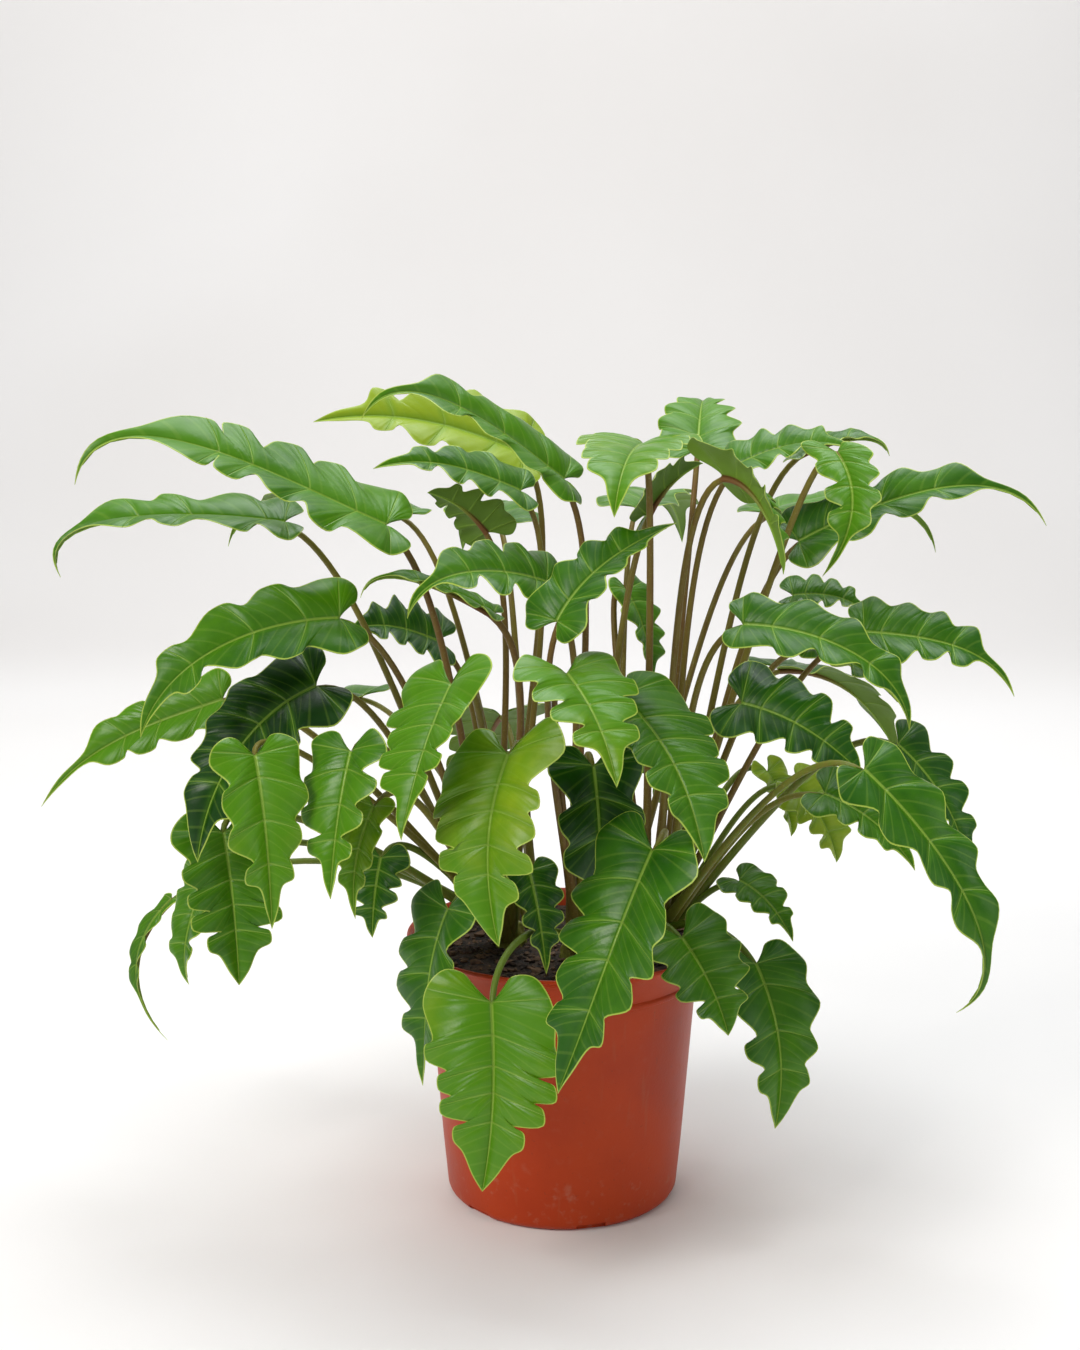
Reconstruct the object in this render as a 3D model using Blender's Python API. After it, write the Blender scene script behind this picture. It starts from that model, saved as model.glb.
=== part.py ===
"""A split-leaf philodendron in its nursery pot.

Metres, +Z up. The origin is the middle of the pot's flat bottom, and the plant's front is at -Y.
The pot, the soil, each crown with its petioles and each leaf blade are solids of their own. The
leaves at the back grow in sprays, and each spray is one solid.
"""

import math
import random
from collections import namedtuple

import bmesh
import bpy
from mathutils import Matrix, Vector

MM = 0.001
CM = 0.01
GAP = 0.3 * MM  # clearance where one piece rests on another

# Pot
RIM_RADIUS = 95 * MM
POT_HEIGHT = 162.5 * MM
RIDGE_RADIUS = 83 * MM
RIDGE_HEIGHT = 139 * MM
WALL_TOP_RADIUS = 82 * MM
FOOT_RADIUS = 71 * MM
FOOT_ROUND = 6 * MM
WALL = 2.2 * MM
FLOOR = 3 * MM
POT_SIDES = 32
NOTCHES = 6
NOTCH_SIZE = (18 * MM, 14 * MM, 4.5 * MM)
NOTCH_TURN = math.radians(13.5)

# Soil
SOIL_TOP = 153 * MM
SOIL_BUMP = 1.6 * MM
SOIL_RINGS = 3
SOIL_CLEAR = 0.4 * MM

# Crowns, as (x, y) in centimetres on the soil
CROWNS = {
    "left": (-3.2, 0.5),
    "middle": (0.8, -2.2),
    "right": (5.2, -0.4),
    "back_left": (-1.6, 4.6),
    "back_right": (3.4, 4.4),
}
CROWN_RADIUS = 11 * MM
CROWN_DEPTH = 18 * MM
CROWN_HEIGHT = 16 * MM
CROWN_SIDES = 12

# Petioles
PETIOLE_SIDES = 5
PETIOLE_RINGS = 6
SHEATH_RADIUS = 4.2 * MM
PETIOLE_RADIUS = 2.9 * MM
PETIOLE_END_RADIUS = 1.9 * MM
UNDER_BLADE = 4 * MM  # how far a petiole runs on under its blade

# Blades
BLADE = 0.9 * MM
BIG_LEAF = 2.8  # half width in centimetres from which a blade has a fourth lobe on each side
RIB_SLANT = 0.14  # how far a lobe lies ahead of the foot of its rib, in blade lengths
HANDLE = 0.36  # reach of the midrib's handles, in lengths of the line from base to tip
FOLD = math.radians(22)  # rise of each half from the midrib
DRAPE = 0.3  # fall of the margins, in half widths
WAVE = 0.07  # height of the waved margin, in half widths

# Kinds of outline, as (first lobe, last lobe, fullness, tail width): the lobes' places in blade
# lengths, how slowly the lobes shrink, and the width of the tip's start in half widths
KINDS = {
    "broad": (0.25, 0.74, 3.0, 0.3),
    "plain": (0.24, 0.68, 2.1, 0.2),
    "tailed": (0.2, 0.54, 1.5, 0.16),
}

# The lobe beside the petiole, as (behind the petiole, out from the midrib) in half widths
BASAL_LOBE = ((0.11, 0.16), (0.34, 0.36), (0.37, 0.64), (0.15, 0.92), (-0.13, 1.0))

Leaf = namedtuple("Leaf", "name crown kind base tip half_width lift curl roll sway")

# Front leaves. Each row is a Leaf. Places and half widths are in centimetres. Lift and curl turn
# the midrib's two ends from the straight line between base and tip, and roll turns the blade about
# it, all in degrees. Sway bends the midrib to the right, in lengths of that line.
LEAVES = [
    ("c1", "middle", "broad", (-4, -13.5, 16.5), (-4.5, -15.5, 6.5), 4.1, 12, 5, 0, -0.06),
    ("c2", "left", "plain", (-6.5, -9.5, 20.5), (-8, -10.5, 10.5), 3.3, 18, 5, 0, 0),
    ("c3", "right", "broad", (4.5, -15.5, 25.5), (-0.5, -19, 13.5), 4, 15, 10, -5, -0.08),
    ("c5", "middle", "broad", (1.5, -11, 29), (2, -12.5, 19), 2.9, 15, 5, 0, 0),
    ("c6", "left", "broad", (-3, -15, 30.5), (-3.5, -18, 21), 4, 15, 5, 25, 0.1),
    ("c7", "left", "plain", (-6, -14, 34), (-8.5, -17.5, 26.5), 3.9, 13, 10, 18, 0),
    ("c8", "middle", "plain", (0, -13.5, 34.5), (2.5, -18.5, 29.5), 3.4, 20, 25, 0, 0),
    ("c9", "right", "broad", (3, -12, 33), (7, -18, 25.5), 3.7, 12, 10, 0, -0.08),
    ("c11", "left", "plain", (-2, -7, 22), (-1, -9, 16.5), 1.8, 10, 10, 0, 0),
    ("l1", "left", "tailed", (-10, -5, 41.5), (-26.5, -9, 44), 3.6, 16, 85, -30, 0),
    ("l2", "left", "tailed", (-16, -3, 41.5), (-28.5, -5, 38.5), 2.8, 22, 100, -20, 0),
    ("l3", "left", "plain", (-12.5, -7, 36.5), (-23, -11, 30.5), 3.3, 30, 45, -40, 0),
    ("l4", "left", "tailed", (-20, -2, 31), (-31, -2, 24.5), 2.2, 12, 25, -60, 0),
    ("l5", "left", "broad", (-14, -6, 32.5), (-20.5, -9, 23), 3.5, 35, 30, -35, 0),
    ("l6", "left", "plain", (-16.5, -13, 30), (-15.5, -15, 21), 2.7, 15, 10, 0, 0),
    ("l7", "left", "plain", (-11.5, -12, 30), (-12.5, -14.5, 22.5), 2.9, 12, 10, 15, 0),
    ("l8", "left", "broad", (-19.5, -6, 24), (-18.5, -8, 15.5), 3.5, 12, 10, 0, 0),
    ("l9", "left", "plain", (-21, -4, 21), (-22, -5, 14.5), 2.2, 11, 30, 0, 0),
    ("l10", "left", "tailed", (-24, 1, 18), (-24.5, 0.5, 9), 0.9, 30, 35, 0, 0.25),
    ("l12", "left", "plain", (-10.5, -10, 26.5), (-11.5, -11.5, 20.5), 1.6, 9, 10, -5, 0.08),
    ("l13", "left", "plain", (-10.5, -6, 22.5), (-11, -7, 18), 2.3, 12, 10, 0, 0),
    ("l14", "left", "broad", (-7.5, 1, 34), (-12.5, -1, 35), 2.8, 15, 25, -38, 0),
    ("l15", "left", "tailed", (-4, -5, 36.5), (-11.5, -6, 37.5), 1.5, 22, 80, -12, 0),
    ("t1", "middle", "tailed", (0, -4, 44), (-11, -9, 47.5), 2.9, 20, 75, -38, 0),
    ("t2", "left", "plain", (-2.5, 6, 45), (-15, 3, 47), 3.4, 15, 20, -45, 0),
    ("t3", "left", "plain", (-2.5, 1, 43), (-11, -2, 44.5), 2.4, 15, 25, -35, 0),
    ("t4", "left", "broad", (-4.5, 1.5, 40.5), (-8, 0, 43), 2.2, 18, 20, 40, 0),
    ("t7", "middle", "tailed", (-1, -7, 38.5), (-8.5, -11, 37), 2.8, 32, 65, -35, 0),
    ("t8", "middle", "plain", (-0.5, -12, 37), (6, -9, 42), 2.6, 25, 15, 20, 0),
    ("t9", "right", "plain", (4.5, -4, 46), (2.5, -12, 42.5), 3.5, 25, 40, 0, 0),
    ("t10", "right", "plain", (8.5, -9, 44.5), (11.5, -12, 39.5), 3.5, 50, 30, -35, 0),
    ("t11", "right", "plain", (10, 0, 44.5), (17, -1, 45.5), 2.5, 20, 30, 26, 0),
    ("t12", "right", "tailed", (14, 3, 45), (19.5, 2, 45), 2.1, 27, 70, 11, 0),
    ("t13", "right", "tailed", (15.5, -3, 45.5), (14.5, -5, 38.5), 2.2, 25, 40, 0, -0.3),
    ("t14", "right", "broad", (8.5, 8, 45), (9.5, 16, 48), 2.8, 20, 20, 0, 0),
    ("t15", "right", "tailed", (14, 1, 40), (28.5, 0, 41), 2.7, 25, 65, 40, 0),
    ("t16", "middle", "plain", (5, 2, 41.5), (8.5, 4, 44.5), 2.7, 20, 20, -45, 0),
    ("r1", "right", "tailed", (17.5, -2, 35), (26, -4, 31.5), 2.7, 20, 45, 40, 0),
    ("r2", "right", "plain", (14, 3, 36.5), (18.5, 2, 35.5), 2.1, 22, 30, 26, 0),
    ("r3", "right", "plain", (10, -6, 36), (19, -9, 30.5), 2.5, 32, 55, 38, 0),
    ("r5", "right", "plain", (15, 2, 33.5), (20.5, 0.5, 30), 1.9, 18, 20, 20, 0),
    ("r6", "right", "broad", (10, -6, 31.5), (16.5, -8.5, 28), 3.3, 18, 15, 35, 0),
    ("r7", "right", "broad", (19.5, -3, 28.5), (23.5, -5, 21.5), 2.7, 20, 20, 20, 0),
    ("r8", "right", "tailed", (16, -12, 29), (21, -14, 16), 2.8, 28, 75, 32, 0),
    ("r9", "right", "plain", (15, -5, 26), (20, -7, 22), 2.6, 20, 20, 25, 0),
    ("r10", "right", "broad", (14.5, 3, 24.5), (17, 2, 20), 2.8, 20, 20, 20, 0),
    ("r11", "right", "broad", (13, 5.5, 25), (14.5, 4.5, 21), 2.3, 20, 20, 0, 0),
    ("r12", "right", "plain", (4, 6, 36.5), (5.5, 5, 30.5), 2.4, 20, 20, 0, 0),
    ("b1", "right", "plain", (10.5, -2, 20), (13.5, -4.5, 17), 2.1, 25, 20, 10, 0),
    ("b2", "right", "broad", (11, -7, 16.5), (12, -9.5, 7.5), 3.1, 15, 15, 0, -0.08),
    ("b3", "middle", "broad", (6.5, -10, 19), (9, -12, 14), 3.2, 12, 15, 20, 0),
]

# Leaves of the two sprays at the back, in the same form
BACK_LEAVES = [
    ("bl1", "back_left", "tailed", (-10, 8, 41), (-22, 13, 38.5), 3, 25, 60, 0, 0),
    ("bl2", "back_left", "plain", (-4, 13, 40), (-7, 25, 37), 3.2, 25, 50, 0, 0),
    ("bl3", "back_left", "broad", (-13, 10, 29), (-22, 16, 22), 3.2, 30, 30, 0, 0),
    ("bl4", "back_left", "broad", (-4, 14, 27), (-6, 22, 17), 3.5, 30, 20, 0, 0),
    ("br1", "back_right", "tailed", (13, 9, 41), (25, 14, 38), 3, 25, 60, 0, 0),
    ("br2", "back_right", "plain", (5, 14, 41), (9, 26, 37.5), 3.2, 25, 50, 0, 0),
    ("br3", "back_right", "broad", (14, 9, 31), (23, 15, 24), 3, 30, 30, 0, 0),
    ("br4", "back_right", "broad", (6, 14, 26), (9, 21, 16), 3.4, 30, 20, 0, 0),
]


def material(name, color, roughness):
    """A plain Principled material."""
    mat = bpy.data.materials.new(name)
    mat.use_nodes = True
    shader = mat.node_tree.nodes["Principled BSDF"]
    shader.inputs["Base Color"].default_value = (*color, 1)
    shader.inputs["Roughness"].default_value = roughness
    mat.diffuse_color = (*color, 1)
    return mat


def add_object(name, bm, mat):
    """An object with bm's mesh, with its faces turned outward."""
    bmesh.ops.recalc_face_normals(bm, faces=bm.faces[:])
    mesh = bpy.data.meshes.new(name)
    bm.to_mesh(mesh)
    bm.free()
    obj = bpy.data.objects.new(name, mesh)
    bpy.context.scene.collection.objects.link(obj)
    if mat:
        mesh.materials.append(mat)
    return obj


def as_cutter(obj):
    obj.hide_render = True
    obj.display_type = "WIRE"
    return obj


def cut(obj, cutter):
    modifier = obj.modifiers.new("Cut", "BOOLEAN")
    modifier.operation = "DIFFERENCE"
    modifier.object = as_cutter(cutter)


def turned(profile, sides):
    """A bmesh with the (radius, height) profile turned about Z. Its ends lie on the axis."""
    bm = bmesh.new()
    verts = [bm.verts.new((radius, 0, height)) for radius, height in profile]
    edges = [bm.edges.new(pair) for pair in zip(verts, verts[1:])]
    bmesh.ops.spin(
        bm, geom=verts + edges, axis=(0, 0, 1), cent=(0, 0, 0), steps=sides, angle=2 * math.pi
    )
    bmesh.ops.remove_doubles(bm, verts=bm.verts[:], dist=0.001 * MM)
    return bm


def wall_radius(height):
    """Outer radius of the pot's tapering body."""
    return FOOT_RADIUS + (WALL_TOP_RADIUS - FOOT_RADIUS) * height / RIDGE_HEIGHT


def pot_outside():
    """The outer profile, from the middle of the bottom up to the rim."""
    foot = []
    for step in range(4):
        angle = math.radians(30 * step)
        radius = FOOT_RADIUS - FOOT_ROUND * (1 - math.sin(angle))
        foot.append((radius, FOOT_ROUND * (1 - math.cos(angle))))
    ridge = [
        (wall_radius(RIDGE_HEIGHT) - 0.3 * MM, RIDGE_HEIGHT - 3 * MM),
        (RIDGE_RADIUS, RIDGE_HEIGHT - 1.2 * MM),
        (RIDGE_RADIUS, RIDGE_HEIGHT + 0.6 * MM),
        (RIDGE_RADIUS - 0.8 * MM, RIDGE_HEIGHT + 2 * MM),
    ]
    collar = [
        (RIDGE_RADIUS + 4 * MM, POT_HEIGHT - 11 * MM),
        (RIM_RADIUS - 3 * MM, POT_HEIGHT - 3 * MM),
        (RIM_RADIUS, POT_HEIGHT - 1.5 * MM),
        (RIM_RADIUS - 0.6 * MM, POT_HEIGHT),
    ]
    return [(0, 0)] + foot + ridge + collar


def pot_inside():
    """The inner profile, from the rim down to the middle of the floor."""
    return [
        (RIM_RADIUS - 2.4 * MM, POT_HEIGHT - 0.4 * MM),
        (RIM_RADIUS - 5.5 * MM, POT_HEIGHT - 4 * MM),
        (RIDGE_RADIUS + 1.5 * MM, POT_HEIGHT - 12 * MM),
        (WALL_TOP_RADIUS - WALL, RIDGE_HEIGHT),
        (wall_radius(FOOT_ROUND) - WALL, FOOT_ROUND + 1 * MM),
        (FOOT_RADIUS - FOOT_ROUND, FLOOR),
        (0, FLOOR),
    ]


def make_pot(mat):
    pot = add_object("pot", turned(pot_outside() + pot_inside(), POT_SIDES), mat)
    width, depth, height = NOTCH_SIZE
    bm = bmesh.new()
    for notch in range(NOTCHES):
        turn = Matrix.Rotation(2 * math.pi * notch / NOTCHES + NOTCH_TURN, 4, "Z")
        middle = Matrix.Translation((0, -FOOT_RADIUS - 2 * MM, 0))
        size = Matrix.Diagonal((width, depth, 2 * height, 1))
        bmesh.ops.create_cube(bm, size=1, matrix=turn @ middle @ size)
    cut(pot, add_object("notch_cutter", bm, None))
    for face in pot.data.polygons:
        face.use_smooth = True
    pot.data.set_sharp_from_angle(angle=math.radians(35))
    return pot


def inner_radius(height):
    """Radius of the pot's inside at a height."""
    profile = pot_inside()
    for (r1, z1), (r0, z0) in zip(profile, profile[1:]):
        if z0 <= height <= z1:
            return r0 + (r1 - r0) * (height - z0) / (z1 - z0)
    return profile[-2][0]


def make_soil(mat):
    """Soil that fills the pot, with an uneven top and a plain hole for each crown."""
    rng = random.Random(3)
    top_radius = inner_radius(SOIL_TOP) - SOIL_CLEAR
    heights = [FLOOR + GAP, FOOT_ROUND + 1 * MM, RIDGE_HEIGHT, POT_HEIGHT - 12 * MM]
    profile = [(0, heights[0])]
    profile += [(inner_radius(height) - SOIL_CLEAR, height) for height in heights]
    profile += [
        (top_radius * ring / SOIL_RINGS, SOIL_TOP) for ring in range(SOIL_RINGS, -1, -1)
    ]
    bm = turned(profile, POT_SIDES)
    for vert in bm.verts:
        inside = math.hypot(vert.co.x, vert.co.y) < top_radius * 0.95
        if vert.co.z > SOIL_TOP - 0.1 * MM and inside:
            vert.co.z += rng.uniform(-SOIL_BUMP, SOIL_BUMP)
    bmesh.ops.triangulate(bm, faces=bm.faces[:])
    soil = add_object("soil", bm, mat)
    holes = bmesh.new()
    for x, y in CROWNS.values():
        place = Matrix.Translation((x * CM, y * CM, SOIL_TOP))
        bmesh.ops.create_cone(
            holes, cap_ends=True, segments=CROWN_SIDES, matrix=place,
            radius1=CROWN_RADIUS + 0.5 * MM, radius2=CROWN_RADIUS + 0.5 * MM,
            depth=2 * (CROWN_DEPTH + GAP),
        )
    cut(soil, add_object("hole_cutter", holes, None))
    return soil


def bezier(p0, p1, p2, p3, t):
    u = 1 - t
    return u * u * u * p0 + 3 * u * u * t * p1 + 3 * u * t * t * p2 + t * t * t * p3


class Midrib:
    """The curve that a blade hangs on, with the blade's own directions along it."""

    def __init__(self, leaf):
        self.base, self.tip = Vector(leaf.base) * CM, Vector(leaf.tip) * CM
        line = self.tip - self.base
        self.length = line.length
        along = line.normalized()
        self.side = along.cross(Vector((0, 0, 1))).normalized()
        rise = self.side.cross(along)
        lift, curl = math.radians(leaf.lift), math.radians(leaf.curl)
        start = along * math.cos(lift) + rise * math.sin(lift)
        end = along * math.cos(curl) - rise * math.sin(curl)
        bend = self.side * leaf.sway
        self.first = self.base + (start * HANDLE + bend) * self.length
        self.last = self.tip - (end * HANDLE - bend) * self.length
        self.roll = math.radians(leaf.roll)

    def point(self, t):
        return bezier(self.base, self.first, self.last, self.tip, t)

    def frame(self, t):
        """The point at t with the unit directions forward, to the right and up off the blade."""
        t = min(max(t, 0.001), 0.999)
        forward = (self.point(t + 0.001) - self.point(t - 0.001)).normalized()
        turn = Matrix.Rotation(self.roll, 3, forward)
        right = turn @ self.side
        return self.point(t), forward, right, right.cross(forward)


def blade_rows(leaf, length, rng):
    """Outline points from the notch to the tip, as (foot of rib, along, left, right).

    The first two are in blade lengths from the petiole, and the others in half widths.
    """
    rows = []
    width = leaf.half_width * CM
    for back, across in BASAL_LOBE:
        left, right = (across * rng.uniform(0.93, 1.04) for _ in range(2))
        rows.append((0.0, -back * width / length, left, right))
    lobes = 4 if leaf.half_width > BIG_LEAF else 3
    first, last, fullness, tail = KINDS[leaf.kind]
    depth = rng.uniform(0.14, 0.28)
    foot = 0.0
    for lobe in range(lobes):
        crest = first + (last - first) * lobe / (lobes - 1) + rng.uniform(-0.02, 0.02)
        reach = 1.02 - crest**fullness
        left, right = (reach * rng.uniform(0.86, 1.08) for _ in range(2))
        valley = crest - 0.5 * (last - first) / lobes
        hollow = 1 - depth - 0.05 * lobe
        foot = max(valley - RIB_SLANT, foot + 0.02)
        rows.append((foot, valley, left * hollow, right * hollow))
        foot = max(crest - RIB_SLANT * reach + 0.02, foot + 0.02)
        rows.append((foot, crest - 0.02, left * 0.96, right * 0.96))
        rows.append((foot, crest + 0.05, left, right))
    start = last + 0.3 * (1 - last)
    rows.append((start - 0.04, start, tail * 1.2, tail * 1.2))
    rows.append((start + 0.5 * (1 - start), start + 0.55 * (1 - start), tail * 0.6, tail * 0.6))
    return rows


def blade_edge(midrib, width, row, side, wave):
    """Where an outline point lies, on the side -1 for left or 1 for right."""
    foot, along, left, right = row
    across = (left if side < 0 else right) * width
    point, forward, right_way, up = midrib.frame(foot)
    rise = across * math.sin(FOLD) - DRAPE * across * across / width + wave * width
    point = point + forward * (along - foot) * midrib.length
    return point + right_way * side * across * math.cos(FOLD) + up * rise, up


def blade_mesh(leaf):
    """A closed thin blade, split into triangles alike on both faces."""
    rng = random.Random(leaf.name)
    midrib = Midrib(leaf)
    width = leaf.half_width * CM
    rows = blade_rows(leaf, midrib.length, rng)
    feet = sorted({0.0} | {row[0] for row in rows} | {1.0})
    spine = {}
    for foot in feet:
        point, _, _, up = midrib.frame(foot)
        spine[foot] = (point, up)
    sheet, faces = [], []

    def add(point, up):
        sheet.append((point, up))
        return len(sheet) - 1

    spine_ids = {foot: add(*spine[foot]) for foot in feet}
    tip_id = spine_ids[1.0]
    for side in (-1, 1):
        phase = rng.uniform(0, 2 * math.pi)
        edge = []
        for number, row in enumerate(rows):
            wave = WAVE * math.sin(phase + 2.1 * number) * (row[2] if side < 0 else row[3])
            edge.append(add(*blade_edge(midrib, width, row, side, wave)))
        previous, last_foot = spine_ids[0.0], 0.0
        for row, corner in zip(rows, edge):
            foot = row[0]
            if foot > last_foot:
                faces.append((spine_ids[last_foot], previous, spine_ids[foot])[::side])
                last_foot = foot
            if previous != spine_ids[0.0] or corner != edge[0]:
                faces.append((spine_ids[foot], previous, corner)[::side])
            previous = corner
        faces.append((spine_ids[last_foot], previous, tip_id)[::side])
    return thicken(sheet, faces)


def thicken(sheet, faces):
    """A closed bmesh with both faces of the sheet and a strip round its edge."""
    bm = bmesh.new()
    upper = [bm.verts.new(point + up * BLADE / 2) for point, up in sheet]
    lower = [bm.verts.new(point - up * BLADE / 2) for point, up in sheet]
    count = {}
    for face in faces:
        bm.faces.new([upper[corner] for corner in face])
        bm.faces.new([lower[corner] for corner in reversed(face)])
        for a, b in zip(face, face[1:] + face[:1]):
            count[(a, b)] = count.get((a, b), 0) + 1
    for a, b in count:
        if (b, a) not in count:
            bm.faces.new((upper[b], upper[a], lower[a]))
            bm.faces.new((upper[b], lower[a], lower[b]))
    return bm


def tube(points, radii, sides):
    """A closed tube through the points, with flat ends."""
    bm = bmesh.new()
    rings = []
    across = None
    for number, (point, radius) in enumerate(zip(points, radii)):
        ahead = points[min(number + 1, len(points) - 1)] - points[max(number - 1, 0)]
        ahead.normalize()
        if across is None:
            across = ahead.cross(Vector((0.3, 0.9, 0.1))).normalized()
        across = (across - ahead * across.dot(ahead)).normalized()
        other = ahead.cross(across)
        ring = []
        for side in range(sides):
            angle = 2 * math.pi * side / sides
            spoke = across * math.cos(angle) + other * math.sin(angle)
            ring.append(bm.verts.new(point + spoke * radius))
        rings.append(ring)
    for low, high in zip(rings, rings[1:]):
        for a in range(sides):
            b = (a + 1) % sides
            bm.faces.new((low[a], low[b], high[b]))
            bm.faces.new((low[a], high[b], high[a]))
    bm.faces.new(rings[0][::-1])
    bm.faces.new(rings[-1])
    return bm


def petiole_points(crown, number, leaf, sunk):
    """Points along a petiole, from inside its crown to just under its blade."""
    point, forward, _, up = Midrib(leaf).frame(0)
    off = BLADE / 2 + (0 if sunk else GAP + PETIOLE_END_RADIUS)
    end = point + forward * UNDER_BLADE - up * off
    start = Vector((crown[0] * CM, crown[1] * CM, SOIL_TOP + CROWN_HEIGHT * 0.35))
    outward = Vector((end.x - start.x, end.y - start.y, 0)).normalized()
    start += outward * CROWN_RADIUS * (0.25 + 0.2 * (number % 3))
    reach = (end - start).length
    out = (end - start) * 0.35
    rise = Vector((out.x, out.y, 0.33 * reach))
    handle = min(0.3 * reach, 45 * MM)
    steps = [step / (PETIOLE_RINGS - 1) for step in range(PETIOLE_RINGS)]
    return [bezier(start, start + rise, end - forward * handle, end, step) for step in steps]


def petiole(crown, number, leaf, sunk):
    points = petiole_points(crown, number, leaf, sunk)
    radii = [SHEATH_RADIUS]
    for step in range(1, PETIOLE_RINGS):
        part = step / (PETIOLE_RINGS - 1)
        radii.append(PETIOLE_RADIUS + (PETIOLE_END_RADIUS - PETIOLE_RADIUS) * part)
    return tube(points, radii, PETIOLE_SIDES)


def crown_mesh(crown):
    """The short stock that the petioles grow from, down into its hole in the soil."""
    low = Vector((crown[0] * CM, crown[1] * CM, SOIL_TOP - CROWN_DEPTH))
    heights = (0, CROWN_DEPTH, CROWN_DEPTH + CROWN_HEIGHT)
    points = [low + Vector((0, 0, height)) for height in heights]
    return tube(points, (CROWN_RADIUS, CROWN_RADIUS, CROWN_RADIUS * 0.7), CROWN_SIDES)


def fuse(name, pieces, mat):
    """One solid made from the first piece and all others by a union."""
    body = add_object(name, pieces[0], mat)
    group = bpy.data.collections.new(name + "_pieces")
    parts = [add_object(f"{name}_{number}", piece, None) for number, piece in enumerate(pieces[1:])]
    for part in parts:
        bpy.context.scene.collection.objects.unlink(part)
        group.objects.link(part)
    modifier = body.modifiers.new("Fuse", "BOOLEAN")
    modifier.operation = "UNION"
    modifier.operand_type = "COLLECTION"
    modifier.collection = group
    modifier.solver = "MANIFOLD"
    shape = body.evaluated_get(bpy.context.evaluated_depsgraph_get())
    fused = bpy.data.meshes.new_from_object(shape)
    body.modifiers.clear()
    body.data = fused
    for part in parts:
        bpy.data.objects.remove(part)
    bpy.data.collections.remove(group)
    return body


def make_stems(name, crown_name, mat):
    """A crown with the petioles of its leaves."""
    crown = CROWNS[crown_name]
    leaves = [leaf for leaf in map(Leaf._make, LEAVES) if leaf.crown == crown_name]
    pieces = [crown_mesh(crown)]
    pieces += [petiole(crown, number, leaf, False) for number, leaf in enumerate(leaves)]
    return fuse(name, pieces, mat)


def make_spray(name, crown_name, mat):
    """A crown at the back with its petioles and blades in one solid."""
    crown = CROWNS[crown_name]
    leaves = [leaf for leaf in map(Leaf._make, BACK_LEAVES) if leaf.crown == crown_name]
    pieces = [crown_mesh(crown)]
    for number, leaf in enumerate(leaves):
        pieces.append(petiole(crown, number, leaf, True))
        pieces.append(blade_mesh(leaf))
    return fuse(name, pieces, mat)


def main():
    for obj in list(bpy.data.objects):
        bpy.data.objects.remove(obj)
    pot_mat = material("pot", (0.32, 0.06, 0.015), 0.5)
    soil_mat = material("soil", (0.02, 0.012, 0.008), 0.95)
    stem_mat = material("petiole", (0.13, 0.12, 0.03), 0.45)
    leaf_mat = material("leaf", (0.06, 0.2, 0.02), 0.4)
    make_pot(pot_mat)
    make_soil(soil_mat)
    for crown_name in ("left", "middle", "right"):
        make_stems("stems_" + crown_name, crown_name, stem_mat)
    for crown_name in ("back_left", "back_right"):
        make_spray("spray_" + crown_name, crown_name, leaf_mat)
    for leaf in map(Leaf._make, LEAVES):
        add_object("leaf_" + leaf.name, blade_mesh(leaf), leaf_mat)


main()
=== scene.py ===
"""A split-leaf philodendron in its nursery pot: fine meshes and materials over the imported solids.

Metres, +Z up, and the plant's front is at -Y. The pot's sizes, the leaf table and the rule for a
midrib are those of the part's source, so each fine piece stands where its solid does. The lobes
are looser than the solids': KINDS, BIG_LEAF and the hollows differ from the source's.
"""

import math
import random
from collections import namedtuple

import bmesh
import bpy
import numpy as np
from mathutils import Matrix, Vector, noise

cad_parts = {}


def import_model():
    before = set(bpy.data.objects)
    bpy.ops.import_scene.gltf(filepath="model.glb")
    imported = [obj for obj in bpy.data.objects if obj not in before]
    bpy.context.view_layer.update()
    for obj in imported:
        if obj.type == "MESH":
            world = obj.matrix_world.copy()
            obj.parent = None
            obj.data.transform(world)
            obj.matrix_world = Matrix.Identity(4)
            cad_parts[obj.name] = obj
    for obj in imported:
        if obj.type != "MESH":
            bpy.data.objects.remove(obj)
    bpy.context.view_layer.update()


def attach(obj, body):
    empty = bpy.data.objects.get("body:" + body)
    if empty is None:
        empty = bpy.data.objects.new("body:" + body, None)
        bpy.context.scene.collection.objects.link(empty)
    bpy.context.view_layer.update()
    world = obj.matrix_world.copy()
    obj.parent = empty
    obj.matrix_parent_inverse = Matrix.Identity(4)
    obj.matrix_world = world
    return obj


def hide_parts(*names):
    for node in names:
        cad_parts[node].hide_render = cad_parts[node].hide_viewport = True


MM = 0.001
CM = 0.01

# Camera
CAMERA_PLACE = (-0.0138, -1.10, 0.507)
CAMERA_DOWN = math.radians(9.6)
CAMERA_LENS = 49.84  # millimetres
CAMERA_SENSOR = 36  # millimetres, the picture's long side

# Stage and lights, in metres
STAGE_FRONT, STAGE_BACK = -3.0, 2.2
STAGE_SIDE = 5
STAGE_TOP = 4.5
STAGE_ROUND = 1.2
STAGE_STEPS = 12
LIGHTS = (  # name, size, power in watts, place, where it is aimed, colour
    ("key", (1.3, 0.9), 44, (-1.5, -1.7, 1.9), (0, 0, 0.3), (1.0, 0.97, 0.93)),
    ("top", (1.6, 1.2), 34, (0.2, 0.3, 2.2), (0, 0, 0.2), (0.93, 0.97, 1.0)),
    ("fill", (1.2, 1.2), 7, (1.9, -1.3, 1.0), (0, 0, 0.3), (1.0, 1.0, 1.0)),
    ("backdrop", (4.0, 1.0), 37, (0, 1.6, 2.6), (0, 3.0, 0.6), (1.0, 1.0, 1.0)),
)
AIR_COLOR = (0.97, 0.98, 1.0, 1)
AIR_STRENGTH = 0.24

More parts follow.
